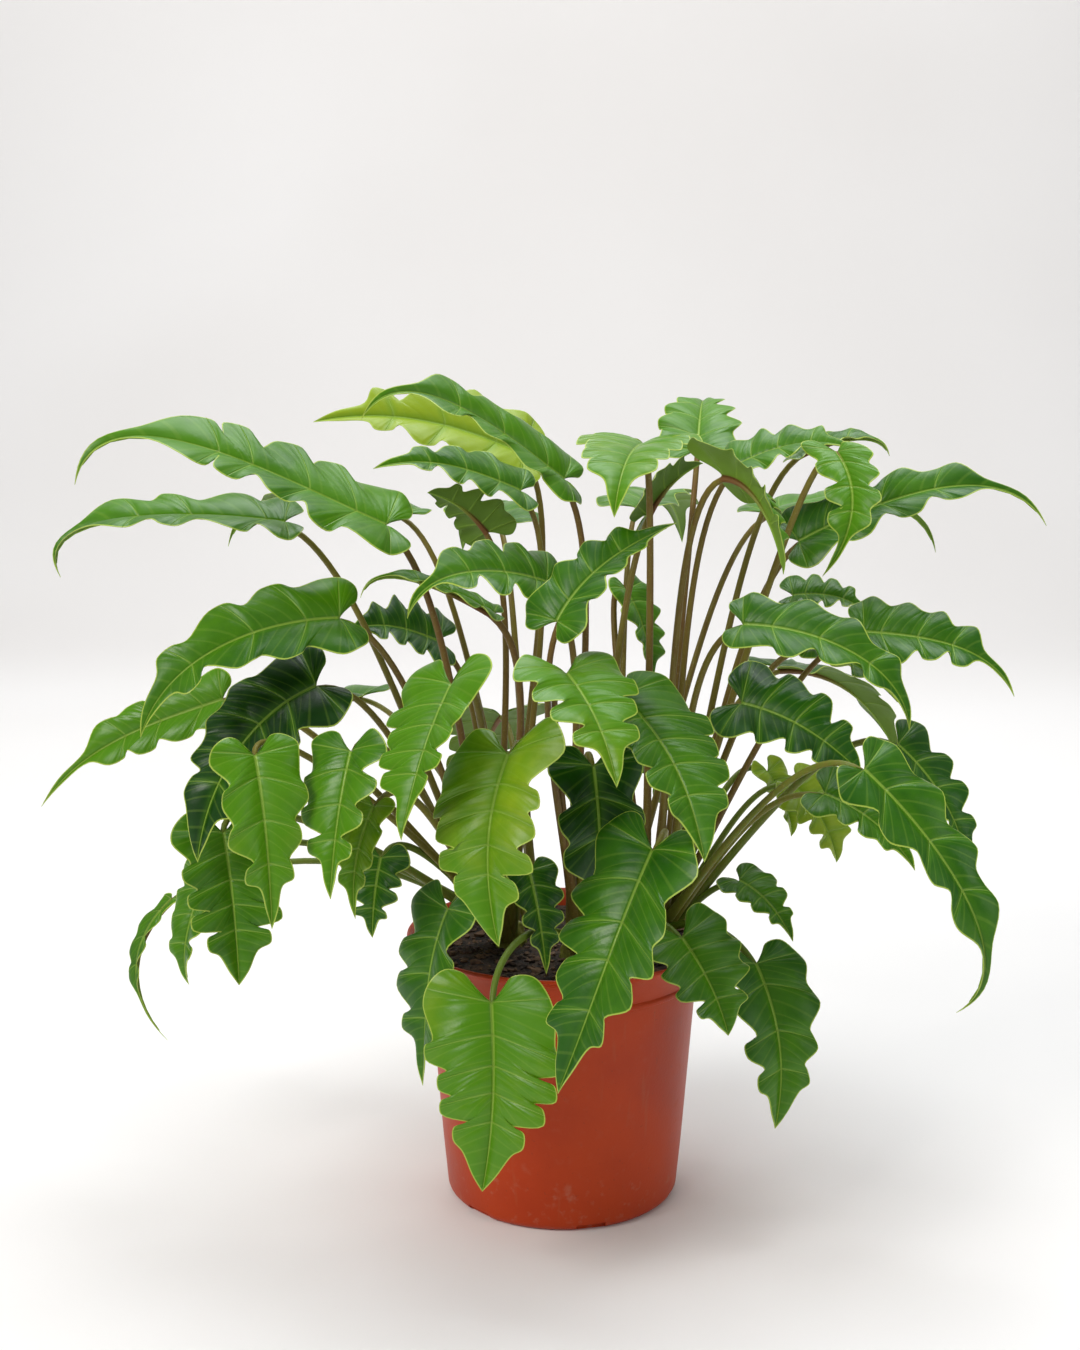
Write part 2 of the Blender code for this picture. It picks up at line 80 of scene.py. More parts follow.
# Pot
RIM_RADIUS = 95 * MM
POT_HEIGHT = 162.5 * MM
RIDGE_RADIUS = 83 * MM
RIDGE_HEIGHT = 139 * MM
WALL_TOP_RADIUS = 82 * MM
FOOT_RADIUS = 71 * MM
FOOT_ROUND = 6 * MM
FOOT_STEPS = 8
WALL = 2.2 * MM
FLOOR = 3 * MM
POT_SIDES = 144
NOTCHES = 6
NOTCH_SIZE = (18 * MM, 14 * MM, 4.5 * MM)
NOTCH_TURN = math.radians(13.5)
NOTCH_OUT = 2 * MM  # how far outside the foot's edge a notch's middle lies
NOTCH_ROUND = 1.2 * MM
POT_SHARP = 35  # degrees between two faces from which their edge is sharp

# Soil
SOIL_TOP = 153 * MM
SOIL_CLEAR = 0.4 * MM
SOIL_SIDES = 120
SOIL_RINGS = 40
SOIL_SHARP = 80
SOIL_LUMPS = ((70, 2.2 * MM), (260, 1.1 * MM), (700, 0.5 * MM))  # waves in a metre, height
CHIPS = 700
CHIP_SEED = 5
CHIP_MARGIN = 2.5 * MM  # room between the chips' middles and the pot's wall
CHIP_SIZE = (0.7, 2.4)  # millimetres
CHIP_LENGTH = (1.0, 2.2)  # in its size, and so is its thickness
CHIP_THICKNESS = (0.4, 0.8)
CHIP_TILT = 0.5
CHIP_BUMPS = 600  # waves in a metre
CHIP_ROUGH = 0.45
CHIP_SHARP = 40

# Crowns, as (x, y) in centimetres on the soil
CROWNS = {
    "left": (-3.2, 0.5),
    "middle": (0.8, -2.2),
    "right": (5.2, -0.4),
    "back_left": (-1.6, 4.6),
    "back_right": (3.4, 4.4),
}
CROWN_RADIUS = 11 * MM
CROWN_HEIGHT = 16 * MM
STOCK_SIDES = 40
STOCK_RINGS = 18
STOCK_SUNK = 4 * MM
STOCK_TONE = 0.6

# Petioles
PETIOLE_SIDES = 12
PETIOLE_RINGS = 28
SHEATH_RADIUS = 4.0 * MM
PETIOLE_RADIUS = 2.6 * MM
PETIOLE_END_RADIUS = 1.8 * MM
UNDER_BLADE = 4 * MM  # how far a petiole runs on under its blade
SHEATH = 0.16  # part of a petiole's length in which its sheath narrows
PETIOLE_START = 0.35  # height of its start in the crown, in crown heights
PETIOLE_OUT = 0.35  # its two curve handles, in lengths of the petiole
PETIOLE_RISE = 0.33
PETIOLE_HANDLE = 0.3
LONGEST_HANDLE = 45 * MM
LOW = 0.22  # height in metres up to which a petiole is green
TALL = 0.36  # height in metres from which it is brown

# Blades
BLADE = 0.6 * MM
BIG_LEAF = 3.45  # half width in centimetres above which a blade has four lobes
RIB_SLANT = 0.14  # how far a rib's foot lies behind its end, in blade lengths
HANDLE = 0.36  # the midrib's curve handles, in lengths of the line from base to tip
FOLD = math.radians(22)
DRAPE = 0.3
WAVE = 0.07  # rise and fall of the margin, in half widths
WAVE_STEP = 2.1  # turn of the wave from one point of the outline to the next
SAMPLES = 5  # points of the margin between two points of the outline
ACROSS = np.array([0, 0.035, 0.09, 0.18, 0.3, 0.44, 0.58, 0.72, 0.85, 0.94, 1])  # midrib to margin
RIB_BEND = 1.25  # how a rib turns towards the tip on its way out
VEIN_WIDTH = 0.8 * MM
MIDRIB_WIDTH = 1.45 * MM
QUILT = 0.9 * MM  # rise of the blade between its veins
GROOVE = 0.55 * MM  # depth of the upper face's groove along the midrib
GROOVE_WIDTH = 1.6 * MM
VEIN_HOLLOW = 3.2 * MM  # how wide the quilting dips at a vein and at the midrib
MIDRIB_HOLLOW = 4 * MM
VEIN_TAPER = 0.65  # part of its width that a vein and the midrib lose on their way
MIDRIB_TAPER = 0.7
THIN_EDGE = 3  # millimetres from the margin to where the blade has its full thickness
WELD = 0.01 * MM
TINY = 0.001  # step along the midrib by which its direction is read
RIDGE_RINGS = 14
RIDGE_SIDES = 8
RIDGE_END = 0.93
RIDGE_END_RADIUS = 0.25 * MM
BLADE_SHARP = 60

# Outlines. A kind is its first and last lobe's place, its fullness and its tip's half width.
KINDS = {
    "broad": (0.26, 0.7, 2.3, 0.3),
    "plain": (0.25, 0.66, 1.9, 0.22),
    "tailed": (0.2, 0.54, 1.5, 0.16),
}
BASAL_LOBE = ((0.11, 0.16), (0.34, 0.36), (0.37, 0.64), (0.15, 0.92), (-0.13, 1.0))
BASAL_SPREAD = (0.93, 1.04)
LOBE_SPREAD = (0.86, 1.08)
CREST_SHIFT = 0.02
HOLLOW_DEPTH = (0.14, 0.28)
HOLLOW_DEEPER = 0.04  # from one lobe to the next
HOLLOW_SPREAD = (0.4, 1.7)
FOOT_STEP = 0.02  # least distance between two ribs' feet

# How light a blade is, from -1 for dark green to 1 for fresh green and 2 for yellow green. The
# values near 2 for t2, r10 and r11 are painted light shining through these blades from behind, on
# both faces.
TONES_AND_BACKLIGHT = {
    "l5": -0.9, "l14": -0.7, "c5": -0.9, "c11": -0.8, "r6": -0.8, "l13": -0.7, "t3": -0.3,
    "t16": -0.3, "r7": -0.6, "c3": -0.1, "c6": 0.7, "c8": 0.8, "c1": 0.8, "t9": 0.9, "t10": 0.7,
    "l6": 0.5, "c7": 0.5, "l12": 0.9, "t13": 0.6, "t2": 1.7, "r10": 1.6, "r11": 1.8, "l4": 0.5,
    "r12": 0.2,
}
TONE_SPREAD = 0.2

# What each vertex carries for the materials: how far it lies from the nearest vein and from the
# midrib in their own widths, millimetres from the margin, its place along the margin and along the
# midrib or petiole, and its tone
VALUES = ("vein", "mid", "edge", "run", "along", "tone")
EDGE, ALONG, TONE = 2, 4, 5

UPPER, UNDER, SKIN = 0, 1, 2  # places of the plant's materials in their tuple

Leaf = namedtuple("Leaf", "name crown kind base tip half_width lift curl roll sway")
Patch = namedtuple("Patch", "points faces slots values")

# Front leaves. Each row is a Leaf. Places and half widths are in centimetres. Lift and curl turn
# the midrib's two ends from the straight line between base and tip, and roll turns the blade about
# it, all in degrees. Sway bends the midrib to the right, in lengths of that line.
LEAVES = [
    ("c1", "middle", "broad", (-4, -13.5, 16.5), (-4.5, -15.5, 6.5), 4.1, 12, 5, 0, -0.06),
    ("c2", "left", "plain", (-6.5, -9.5, 20.5), (-8, -10.5, 10.5), 3.3, 18, 5, 0, 0),
    ("c3", "right", "broad", (4.5, -15.5, 25.5), (-0.5, -19, 13.5), 4, 15, 10, -5, -0.08),
    ("c5", "middle", "broad", (1.5, -11, 29), (2, -12.5, 19), 2.9, 15, 5, 0, 0),
    ("c6", "left", "broad", (-3, -15, 30.5), (-3.5, -18, 21), 4, 15, 5, 25, 0.1),
    ("c7", "left", "plain", (-6, -14, 34), (-8.5, -17.5, 26.5), 3.9, 13, 10, 18, 0),
    ("c8", "middle", "plain", (0, -13.5, 34.5), (2.5, -18.5, 29.5), 3.4, 20, 25, 0, 0),
    ("c9", "right", "broad", (3, -12, 33), (7, -18, 25.5), 3.7, 12, 10, 0, -0.08),
    ("c11", "left", "plain", (-2, -7, 22), (-1, -9, 16.5), 1.8, 10, 10, 0, 0),
    ("l1", "left", "tailed", (-10, -5, 41.5), (-26.5, -9, 44), 3.6, 16, 85, -30, 0),
    ("l2", "left", "tailed", (-16, -3, 41.5), (-28.5, -5, 38.5), 2.8, 22, 100, -20, 0),
    ("l3", "left", "plain", (-12.5, -7, 36.5), (-23, -11, 30.5), 3.3, 30, 45, -40, 0),
    ("l4", "left", "tailed", (-20, -2, 31), (-31, -2, 24.5), 2.2, 12, 25, -60, 0),
    ("l5", "left", "broad", (-14, -6, 32.5), (-20.5, -9, 23), 3.5, 35, 30, -35, 0),
    ("l6", "left", "plain", (-16.5, -13, 30), (-15.5, -15, 21), 2.7, 15, 10, 0, 0),
    ("l7", "left", "plain", (-11.5, -12, 30), (-12.5, -14.5, 22.5), 2.9, 12, 10, 15, 0),
    ("l8", "left", "broad", (-19.5, -6, 24), (-18.5, -8, 15.5), 3.5, 12, 10, 0, 0),
    ("l9", "left", "plain", (-21, -4, 21), (-22, -5, 14.5), 2.2, 11, 30, 0, 0),
    ("l10", "left", "tailed", (-24, 1, 18), (-24.5, 0.5, 9), 0.9, 30, 35, 0, 0.25),
    ("l12", "left", "plain", (-10.5, -10, 26.5), (-11.5, -11.5, 20.5), 1.6, 9, 10, -5, 0.08),
    ("l13", "left", "plain", (-10.5, -6, 22.5), (-11, -7, 18), 2.3, 12, 10, 0, 0),
    ("l14", "left", "broad", (-7.5, 1, 34), (-12.5, -1, 35), 2.8, 15, 25, -38, 0),
    ("l15", "left", "tailed", (-4, -5, 36.5), (-11.5, -6, 37.5), 1.5, 22, 80, -12, 0),
    ("t1", "middle", "tailed", (0, -4, 44), (-11, -9, 47.5), 2.9, 20, 75, -38, 0),
    ("t2", "left", "plain", (-2.5, 6, 45), (-15, 3, 47), 3.4, 15, 20, -45, 0),
    ("t3", "left", "plain", (-2.5, 1, 43), (-11, -2, 44.5), 2.4, 15, 25, -35, 0),
    ("t4", "left", "broad", (-4.5, 1.5, 40.5), (-8, 0, 43), 2.2, 18, 20, 40, 0),
    ("t7", "middle", "tailed", (-1, -7, 38.5), (-8.5, -11, 37), 2.8, 32, 65, -35, 0),
    ("t8", "middle", "plain", (-0.5, -12, 37), (6, -9, 42), 2.6, 25, 15, 20, 0),
    ("t9", "right", "plain", (4.5, -4, 46), (2.5, -12, 42.5), 3.5, 25, 40, 0, 0),
    ("t10", "right", "plain", (8.5, -9, 44.5), (11.5, -12, 39.5), 3.5, 50, 30, -35, 0),
    ("t11", "right", "plain", (10, 0, 44.5), (17, -1, 45.5), 2.5, 20, 30, 26, 0),
    ("t12", "right", "tailed", (14, 3, 45), (19.5, 2, 45), 2.1, 27, 70, 11, 0),
    ("t13", "right", "tailed", (15.5, -3, 45.5), (14.5, -5, 38.5), 2.2, 25, 40, 0, -0.3),
    ("t14", "right", "broad", (8.5, 8, 45), (9.5, 16, 48), 2.8, 20, 20, 0, 0),
    ("t15", "right", "tailed", (14, 1, 40), (28.5, 0, 41), 2.7, 25, 65, 40, 0),
    ("t16", "middle", "plain", (5, 2, 41.5), (8.5, 4, 44.5), 2.7, 20, 20, -45, 0),
    ("r1", "right", "tailed", (17.5, -2, 35), (26, -4, 31.5), 2.7, 20, 45, 40, 0),
    ("r2", "right", "plain", (14, 3, 36.5), (18.5, 2, 35.5), 2.1, 22, 30, 26, 0),
    ("r3", "right", "plain", (10, -6, 36), (19, -9, 30.5), 2.5, 32, 55, 38, 0),
    ("r5", "right", "plain", (15, 2, 33.5), (20.5, 0.5, 30), 1.9, 18, 20, 20, 0),
    ("r6", "right", "broad", (10, -6, 31.5), (16.5, -8.5, 28), 3.3, 18, 15, 35, 0),
    ("r7", "right", "broad", (19.5, -3, 28.5), (23.5, -5, 21.5), 2.7, 20, 20, 20, 0),
    ("r8", "right", "tailed", (16, -12, 29), (21, -14, 16), 2.8, 28, 75, 32, 0),
    ("r9", "right", "plain", (15, -5, 26), (20, -7, 22), 2.6, 20, 20, 25, 0),
    ("r10", "right", "broad", (14.5, 3, 24.5), (17, 2, 20), 2.8, 20, 20, 20, 0),
    ("r11", "right", "broad", (13, 5.5, 25), (14.5, 4.5, 21), 2.3, 20, 20, 0, 0),
    ("r12", "right", "plain", (4, 6, 36.5), (5.5, 5, 30.5), 2.4, 20, 20, 0, 0),
    ("b1", "right", "plain", (10.5, -2, 20), (13.5, -4.5, 17), 2.1, 25, 20, 10, 0),
    ("b2", "right", "broad", (11, -7, 16.5), (12, -9.5, 7.5), 3.1, 15, 15, 0, -0.08),
    ("b3", "middle", "broad", (6.5, -10, 19), (9, -12, 14), 3.2, 12, 15, 20, 0),
]

# Leaves of the two sprays at the back, in the same form
BACK_LEAVES = [
    ("bl1", "back_left", "tailed", (-10, 8, 41), (-22, 13, 38.5), 3, 25, 60, 0, 0),
    ("bl2", "back_left", "plain", (-4, 13, 40), (-7, 25, 37), 3.2, 25, 50, 0, 0),
    ("bl3", "back_left", "broad", (-13, 10, 29), (-22, 16, 22), 3.2, 30, 30, 0, 0),
    ("bl4", "back_left", "broad", (-4, 14, 27), (-6, 22, 17), 3.5, 30, 20, 0, 0),
    ("br1", "back_right", "tailed", (13, 9, 41), (25, 14, 38), 3, 25, 60, 0, 0),
    ("br2", "back_right", "plain", (5, 14, 41), (9, 26, 37.5), 3.2, 25, 50, 0, 0),
    ("br3", "back_right", "broad", (14, 9, 31), (23, 15, 24), 3, 30, 30, 0, 0),
    ("br4", "back_right", "broad", (6, 14, 26), (9, 21, 16), 3.4, 30, 20, 0, 0),
]


def unit(vectors):
    """The vectors, each at length 1."""
    return vectors / np.linalg.norm(vectors, axis=-1, keepdims=True)


def bezier(p0, p1, p2, p3, t):
    """Points of a cubic curve at t, a number or an array of them."""
    t = np.asarray(t)[..., None]
    u = 1 - t
    return u**3 * p0 + 3 * u * u * t * p1 + 3 * u * t * t * p2 + t**3 * p3


class Midrib:
    """The curve that a blade hangs on, with the blade's own directions along it."""

    def __init__(self, leaf):
        self.base, self.tip = np.array(leaf.base) * CM, np.array(leaf.tip) * CM
        line = self.tip - self.base
        self.length = np.linalg.norm(line)
        along = line / self.length
        self.side = unit(np.cross(along, (0, 0, 1)))
        rise = np.cross(self.side, along)
        lift, curl = math.radians(leaf.lift), math.radians(leaf.curl)
        start = along * math.cos(lift) + rise * math.sin(lift)
        end = along * math.cos(curl) - rise * math.sin(curl)
        bend = self.side * leaf.sway
        self.first = self.base + (start * HANDLE + bend) * self.length
        self.last = self.tip - (end * HANDLE - bend) * self.length
        self.roll = math.radians(leaf.roll)

    def point(self, t):
        return bezier(self.base, self.first, self.last, self.tip, t)

    def frame(self, t):
        """The points at t with the unit directions forward, to the right and up off the blade."""
        t = np.clip(t, TINY, 1 - TINY)
        forward = unit(self.point(t + TINY) - self.point(t - TINY))
        flat = self.side * math.cos(self.roll)
        across = np.cross(forward, self.side) * math.sin(self.roll)
        ahead = forward * (forward @ self.side)[..., None] * (1 - math.cos(self.roll))
        right = flat + across + ahead
        return self.point(t), forward, right, np.cross(right, forward)


def blade_rows(leaf, length, rng):
    """Outline points from the notch to the tip, as (foot of rib, along, left, right).

    The first two are in blade lengths from the petiole, and the others in half widths.
    """
    rows = []
    width = leaf.half_width * CM
    for back, across in BASAL_LOBE:
        left, right = (across * rng.uniform(*BASAL_SPREAD) for _ in range(2))
        rows.append((0.0, -back * width / length, left, right))
    lobes = 4 if leaf.half_width > BIG_LEAF else 3
    first, last, fullness, tail = KINDS[leaf.kind]
    depth = rng.uniform(*HOLLOW_DEPTH)
    foot = 0.0
    for lobe in range(lobes):
        crest = first + (last - first) * lobe / (lobes - 1) + rng.uniform(-CREST_SHIFT, CREST_SHIFT)
        reach = 1.02 - crest**fullness
        left, right = (reach * rng.uniform(*LOBE_SPREAD) for _ in range(2))
        valley = crest - 0.5 * (last - first) / lobes
        deep = depth + HOLLOW_DEEPER * lobe
        hollows = [1 - deep * rng.uniform(*HOLLOW_SPREAD) for _ in range(2)]
        foot = max(valley - RIB_SLANT, foot + FOOT_STEP)
        rows.append((foot, valley, left * hollows[0], right * hollows[1]))
        foot = max(crest - RIB_SLANT * reach + 0.02, foot + FOOT_STEP)
        rows.append((foot, crest - 0.03, left * 0.97, right * 0.97))
        rows.append((foot, crest + 0.05, left, right))
    start = last + 0.3 * (1 - last)
    rows.append((start - 0.04, start, tail * 1.2, tail * 1.2))
    rows.append((start + 0.5 * (1 - start), start + 0.55 * (1 - start), tail * 0.6, tail * 0.6))
    return rows


def smooth(points, steps, knots):
    """A cubic through the points, with steps samples in each gap between them."""
    gaps = np.diff(knots)[:, None]
    slopes = np.diff(points, axis=0) / gaps
    inner = (gaps[1:] * slopes[:-1] + gaps[:-1] * slopes[1:]) / (gaps[1:] + gaps[:-1])
    slopes = np.vstack([slopes[:1], inner, slopes[-1:]])
    t = (np.arange(steps) / steps)[None, :, None]
    p0, p1 = points[:-1, None], points[1:, None]
    m0, m1 = slopes[:-1, None] * gaps[:, None], slopes[1:, None] * gaps[:, None]
    curve = (
        (2 * t**3 - 3 * t**2 + 1) * p0 + (t**3 - 2 * t**2 + t) * m0
        + (3 * t**2 - 2 * t**3) * p1 + (t**3 - t**2) * m1
    )
    return np.vstack([curve.reshape(-1, points.shape[1]), points[-1:]])


def margin(rows, side, phase, width, length):
    """Samples of one side's margin, as (foot, along, across, wave)."""
    points = [(0, 0, 0, 0)]
    for number, (foot, along, left, right) in enumerate(rows):
        across = left if side < 0 else right
        wave = WAVE * math.sin(phase + WAVE_STEP * number) * across
        points.append((foot, along, across, wave))
    points = np.array(points + [(1, 1, 0, 0)], float)
    flat = points[:, 1:3] * (length, width)
    chords = np.linalg.norm(np.diff(flat, axis=0), axis=1) ** 0.5
    curve = smooth(points[:, 1:], SAMPLES, np.concatenate([[0], np.cumsum(chords)]))
    feet = smooth(points[:, :1], SAMPLES, np.arange(len(points), dtype=float))
    feet = np.clip(np.maximum.accumulate(feet), 0, 1)
    curve[:, 1] = np.maximum(curve[:, 1], 0)
    return np.hstack([feet, curve])


def vein_columns(rows):
    """Where along the margin the lateral veins run out: two in the basal lobe, one a lobe."""
    columns = [2 * SAMPLES, 4 * SAMPLES + 1]
    crest = len(BASAL_LOBE) + 2
    while crest < len(rows) - 2:
        columns.append(crest * SAMPLES + SAMPLES // 2)
        crest += 3
    return columns


def bell(distance, width):
    """1 at no distance, falling smoothly to 0 over about twice the width."""
    return np.exp(-((distance / width) ** 2))


def half_blade(midrib, width, rows, side, phase):
    """Points and values of one half of the blade, as a grid from the midrib to the margin."""
    length = midrib.length
    feet, along, across, wave = margin(rows, side, phase, width, length).T
    point, forward, right, up = midrib.frame(feet)
    t = ACROSS[None, :, None]
    out = (across[:, None] * width * ACROSS)[..., None]
    ahead = ((along - feet) * length)[:, None, None] * t**RIB_BEND
    flat = ahead * forward[:, None] + side * out * math.cos(FOLD) * right[:, None]
    flat = flat + point[:, None]
    columns = vein_columns(rows)
    gaps = np.stack([np.linalg.norm(flat - flat[c][None], axis=2) for c in columns])
    vein = gaps.min(axis=0)
    mid = out[..., 0]
    puff = (1 - bell(vein, VEIN_HOLLOW)) * (1 - bell(mid, MIDRIB_HOLLOW))
    puff = puff * np.sin(math.pi * ACROSS) ** 0.7
    groove = bell(mid, GROOVE_WIDTH)
    rise = out * math.sin(FOLD) - DRAPE * out * out / width + (wave * width)[:, None, None] * t**2
    rise = rise + (QUILT * puff - GROOVE * groove)[..., None]
    points = flat + rise * up[:, None]
    taper = VEIN_WIDTH * (1 - VEIN_TAPER * ACROSS)[None]
    rib = MIDRIB_WIDTH * (1 - MIDRIB_TAPER * feet)[:, None]
    edge = np.linalg.norm(points - points[:, -1:], axis=2) / MM
    run = np.arange(len(feet))[:, None] / SAMPLES + 0 * mid
    values = np.stack([vein / taper, mid / rib, edge, run, feet[:, None] + 0 * mid], axis=2)
    return points, values, np.broadcast_to(up[:, None], points.shape)


def blade_sheet(leaf):
    """The blade without thickness: points, directions off it, faces and values."""
    rng = random.Random(leaf.name)
    midrib = Midrib(leaf)
    width = leaf.half_width * CM
    rows = blade_rows(leaf, midrib.length, rng)
    points, ups, values, faces = [], [], [], []
    for side in (-1, 1):
        grid, carried, up = half_blade(midrib, width, rows, side, rng.uniform(0, 2 * math.pi))
        start = sum(len(part) for part in points)
        count, rings = grid.shape[:2]
        index = start + np.arange(count * rings).reshape(count, rings)
        quads = np.stack([index[:-1, :-1], index[1:, :-1], index[1:, 1:], index[:-1, 1:]], axis=2)
        faces.append(quads.reshape(-1, 4)[:, :: -side])
        points.append(grid.reshape(-1, 3))
        ups.append(up.reshape(-1, 3))
        values.append(carried.reshape(-1, carried.shape[2]))
    points, ups, values = (np.vstack(parts) for parts in (points, ups, values))
    _, first, index = np.unique(
        np.round(points / WELD).astype(int), axis=0, return_index=True, return_inverse=True
    )
    merged = []
    for face in index.reshape(-1)[np.vstack(faces)]:
        corners = [c for c, before in zip(face, np.roll(face, 1)) if c != before]
        if len(set(corners)) == len(corners) > 2:
            merged.append(tuple(int(c) for c in corners))
    return points[first], ups[first], merged, values[first]


def plain_values(count, along, tone):
    """Values of a shape without veins or margin."""
    values = np.zeros((count, len(VALUES)))
    values[:, ALONG], values[:, TONE] = along, tone
    return values


def ridge(leaf, tone):
    """The raised midrib under the blade, as a continuation of its petiole."""
    t = np.linspace(0, RIDGE_END, RIDGE_RINGS)
    point, _, _, up = Midrib(leaf).frame(t)
    radii = RIDGE_END_RADIUS + (PETIOLE_END_RADIUS - 0.3 * MM) * (1 - t) ** 1.3
    points, faces, _ = tube(point - up * (GROOVE + radii[:, None] * 0.9), radii, RIDGE_SIDES)
    return points, faces, plain_values(len(points), np.repeat(t, RIDGE_SIDES), tone)


def blade(leaf):
    """One blade with its underside and the raised midrib, as a patch."""
    rng = random.Random("tone " + leaf.name)
    # tone is the blade's own green and, for t2, r10 and r11, also painted light shining through it
    # from behind
    tone = TONES_AND_BACKLIGHT.get(leaf.name, 0) + rng.uniform(-TONE_SPREAD, TONE_SPREAD)
    points, ups, faces, values = blade_sheet(leaf)
    count = len(points)
    full = np.clip(values[:, EDGE, None] / THIN_EDGE, 0, 1)
    thick = BLADE * (0.5 + 0.5 * full)
    both = np.vstack([points + ups * thick / 2, points - ups * thick / 2])
    low = [tuple(corner + count for corner in reversed(face)) for face in faces]
    edges = {pair: None for face in faces for pair in zip(face, face[1:] + face[:1])}
    rim = [(b, a, a + count, b + count) for a, b in edges if (b, a) not in edges]
    under, under_faces, under_values = ridge(leaf, tone)
    under_faces = [tuple(corner + 2 * count for corner in face) for face in under_faces]
    slots = [UPPER] * len(faces) + [UNDER] * len(low) + [UPPER] * len(rim)
    slots += [UNDER] * len(under_faces)
    values = np.hstack([values, np.full((count, 1), tone)])
    return Patch(
        np.vstack([both, under]),
        faces + low + rim + under_faces,
        slots,
        np.vstack([values, values, under_values]),
    )


def ring_faces(rings, sides):
    """Faces round and at both ends of a tube whose vertices go ring by ring."""
    faces = []
    for ring in range(rings - 1):
        low, high = ring * sides, (ring + 1) * sides
        for a in range(sides):
            b = (a + 1) % sides
            faces.append((low + a, low + b, high + b, high + a))
    faces.append(tuple(range(sides))[::-1])
    faces.append(tuple(range((rings - 1) * sides, rings * sides)))
    return faces


def tube(points, radii, sides):
    """A closed tube through the points: its vertices, faces and how far along each vertex is."""
    ahead = unit(np.gradient(points, axis=0))
    across = unit(np.cross(ahead[0], (0.3, 0.9, 0.1)))
    turn = np.linspace(0, 2 * math.pi, sides, endpoint=False)
    rings = []
    for point, way, radius in zip(points, ahead, radii):
        across = unit(across - way * (across @ way))
        other = np.cross(way, across)
        spokes = np.outer(np.cos(turn), across) + np.outer(np.sin(turn), other)
        rings.append(point + spokes * radius)
    along = np.repeat(np.linspace(0, 1, len(points)), sides)
    return np.vstack(rings), ring_faces(len(points), sides), along


def petiole(crown, number, leaf):
    """A petiole from inside its crown to the underside of its blade, as a patch."""
    point, forward, _, up = (part[0] for part in Midrib(leaf).frame(np.zeros(1)))
    end = point + forward * UNDER_BLADE - up * (GROOVE + PETIOLE_END_RADIUS * 0.8)
    start = np.array((crown[0] * CM, crown[1] * CM, SOIL_TOP + CROWN_HEIGHT * PETIOLE_START))
    outward = unit(np.array((end[0] - start[0], end[1] - start[1], 0)))
    start = start + outward * CROWN_RADIUS * (0.25 + 0.2 * (number % 3))
    reach = np.linalg.norm(end - start)
    out = (end - start) * PETIOLE_OUT
    rise = np.array((out[0], out[1], PETIOLE_RISE * reach))
    handle = min(PETIOLE_HANDLE * reach, LONGEST_HANDLE)
    t = np.linspace(0, 1, PETIOLE_RINGS)
    path = bezier(start, start + rise, end - forward * handle, end, t)
    rng = random.Random("petiole " + leaf.name)
    sheath = (SHEATH_RADIUS - PETIOLE_RADIUS) * bell(t, SHEATH)
    radii = sheath + PETIOLE_RADIUS + (PETIOLE_END_RADIUS - PETIOLE_RADIUS) * t**0.8
    radii = radii * rng.uniform(0.88, 1.05)
    radii[-1] *= 0.6
    points, faces, along = tube(path, radii, PETIOLE_SIDES)
    brown = np.clip((leaf.base[2] * CM - LOW) / (TALL - LOW), 0, 1)
    tone = brown + rng.uniform(-0.25, 0.25)
    return Patch(points, faces, [SKIN] * len(faces), plain_values(len(points), along, tone))


def stock(crown, seed):
    """The short lumpy stock at the foot of the petioles, from just below the soil's top."""
    turn = np.linspace(0, 2 * math.pi, STOCK_SIDES, endpoint=False)
    points = []
    for step in np.linspace(0, 1, STOCK_RINGS):
        wave = 1 + 0.07 * np.sin(turn * 5 + seed + 9 * step) + 0.04 * np.sin(turn * 11 - 14 * step)
        radius = CROWN_RADIUS * 0.9 * (1 - 0.35 * step**2) * wave * (1 - (step > 0.99) * 0.25)
        x = crown[0] * CM + radius * np.cos(turn)
        y = crown[1] * CM + radius * np.sin(turn)
        z = SOIL_TOP - STOCK_SUNK + (CROWN_HEIGHT * 0.9 + STOCK_SUNK) * step
        points.append(np.stack([x, y, np.full(STOCK_SIDES, z)], axis=1))
    points = np.vstack(points)
    faces = ring_faces(STOCK_RINGS, STOCK_SIDES)
    return Patch(points, faces, [SKIN] * len(faces), plain_values(len(points), 0, STOCK_TONE))


def add_piece(name, patches, materials, slot, *nodes):
    """One object from the patches, which rides on the root and stands for the nodes."""
    used = sorted({number for patch in patches for number in set(patch.slots)})
    faces, slots, shift = [], [], 0
    for patch in patches:
        faces += [tuple(corner + shift for corner in face) for face in patch.faces]
        slots += [used.index(number) for number in patch.slots]
        shift += len(patch.points)
    mesh = bpy.data.meshes.new(name)
    mesh.from_pydata(np.vstack([patch.points for patch in patches]).tolist(), [], faces)
    mesh.polygons.foreach_set("material_index", slots)
    mesh.polygons.foreach_set("use_smooth", [True] * len(faces))
    values = np.vstack([patch.values for patch in patches])
    for number, value in enumerate(VALUES):
        layer = mesh.attributes.new(value, "FLOAT", "POINT")
        layer.data.foreach_set("value", values[:, number].astype(np.float32))
    for number in used:
        mesh.materials.append(materials[number])
    mesh.set_sharp_from_angle(angle=math.radians(BLADE_SHARP))
    mesh.update()
    return place(name, mesh, slot, *nodes)


def place(name, mesh, slot, *nodes):
    """The mesh as a piece that rides on the root and stands for the nodes."""
    obj = bpy.data.objects.new(name, mesh)
    bpy.context.scene.collection.objects.link(obj)
    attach(obj, "root")
    if nodes:
        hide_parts(*nodes)
    return obj


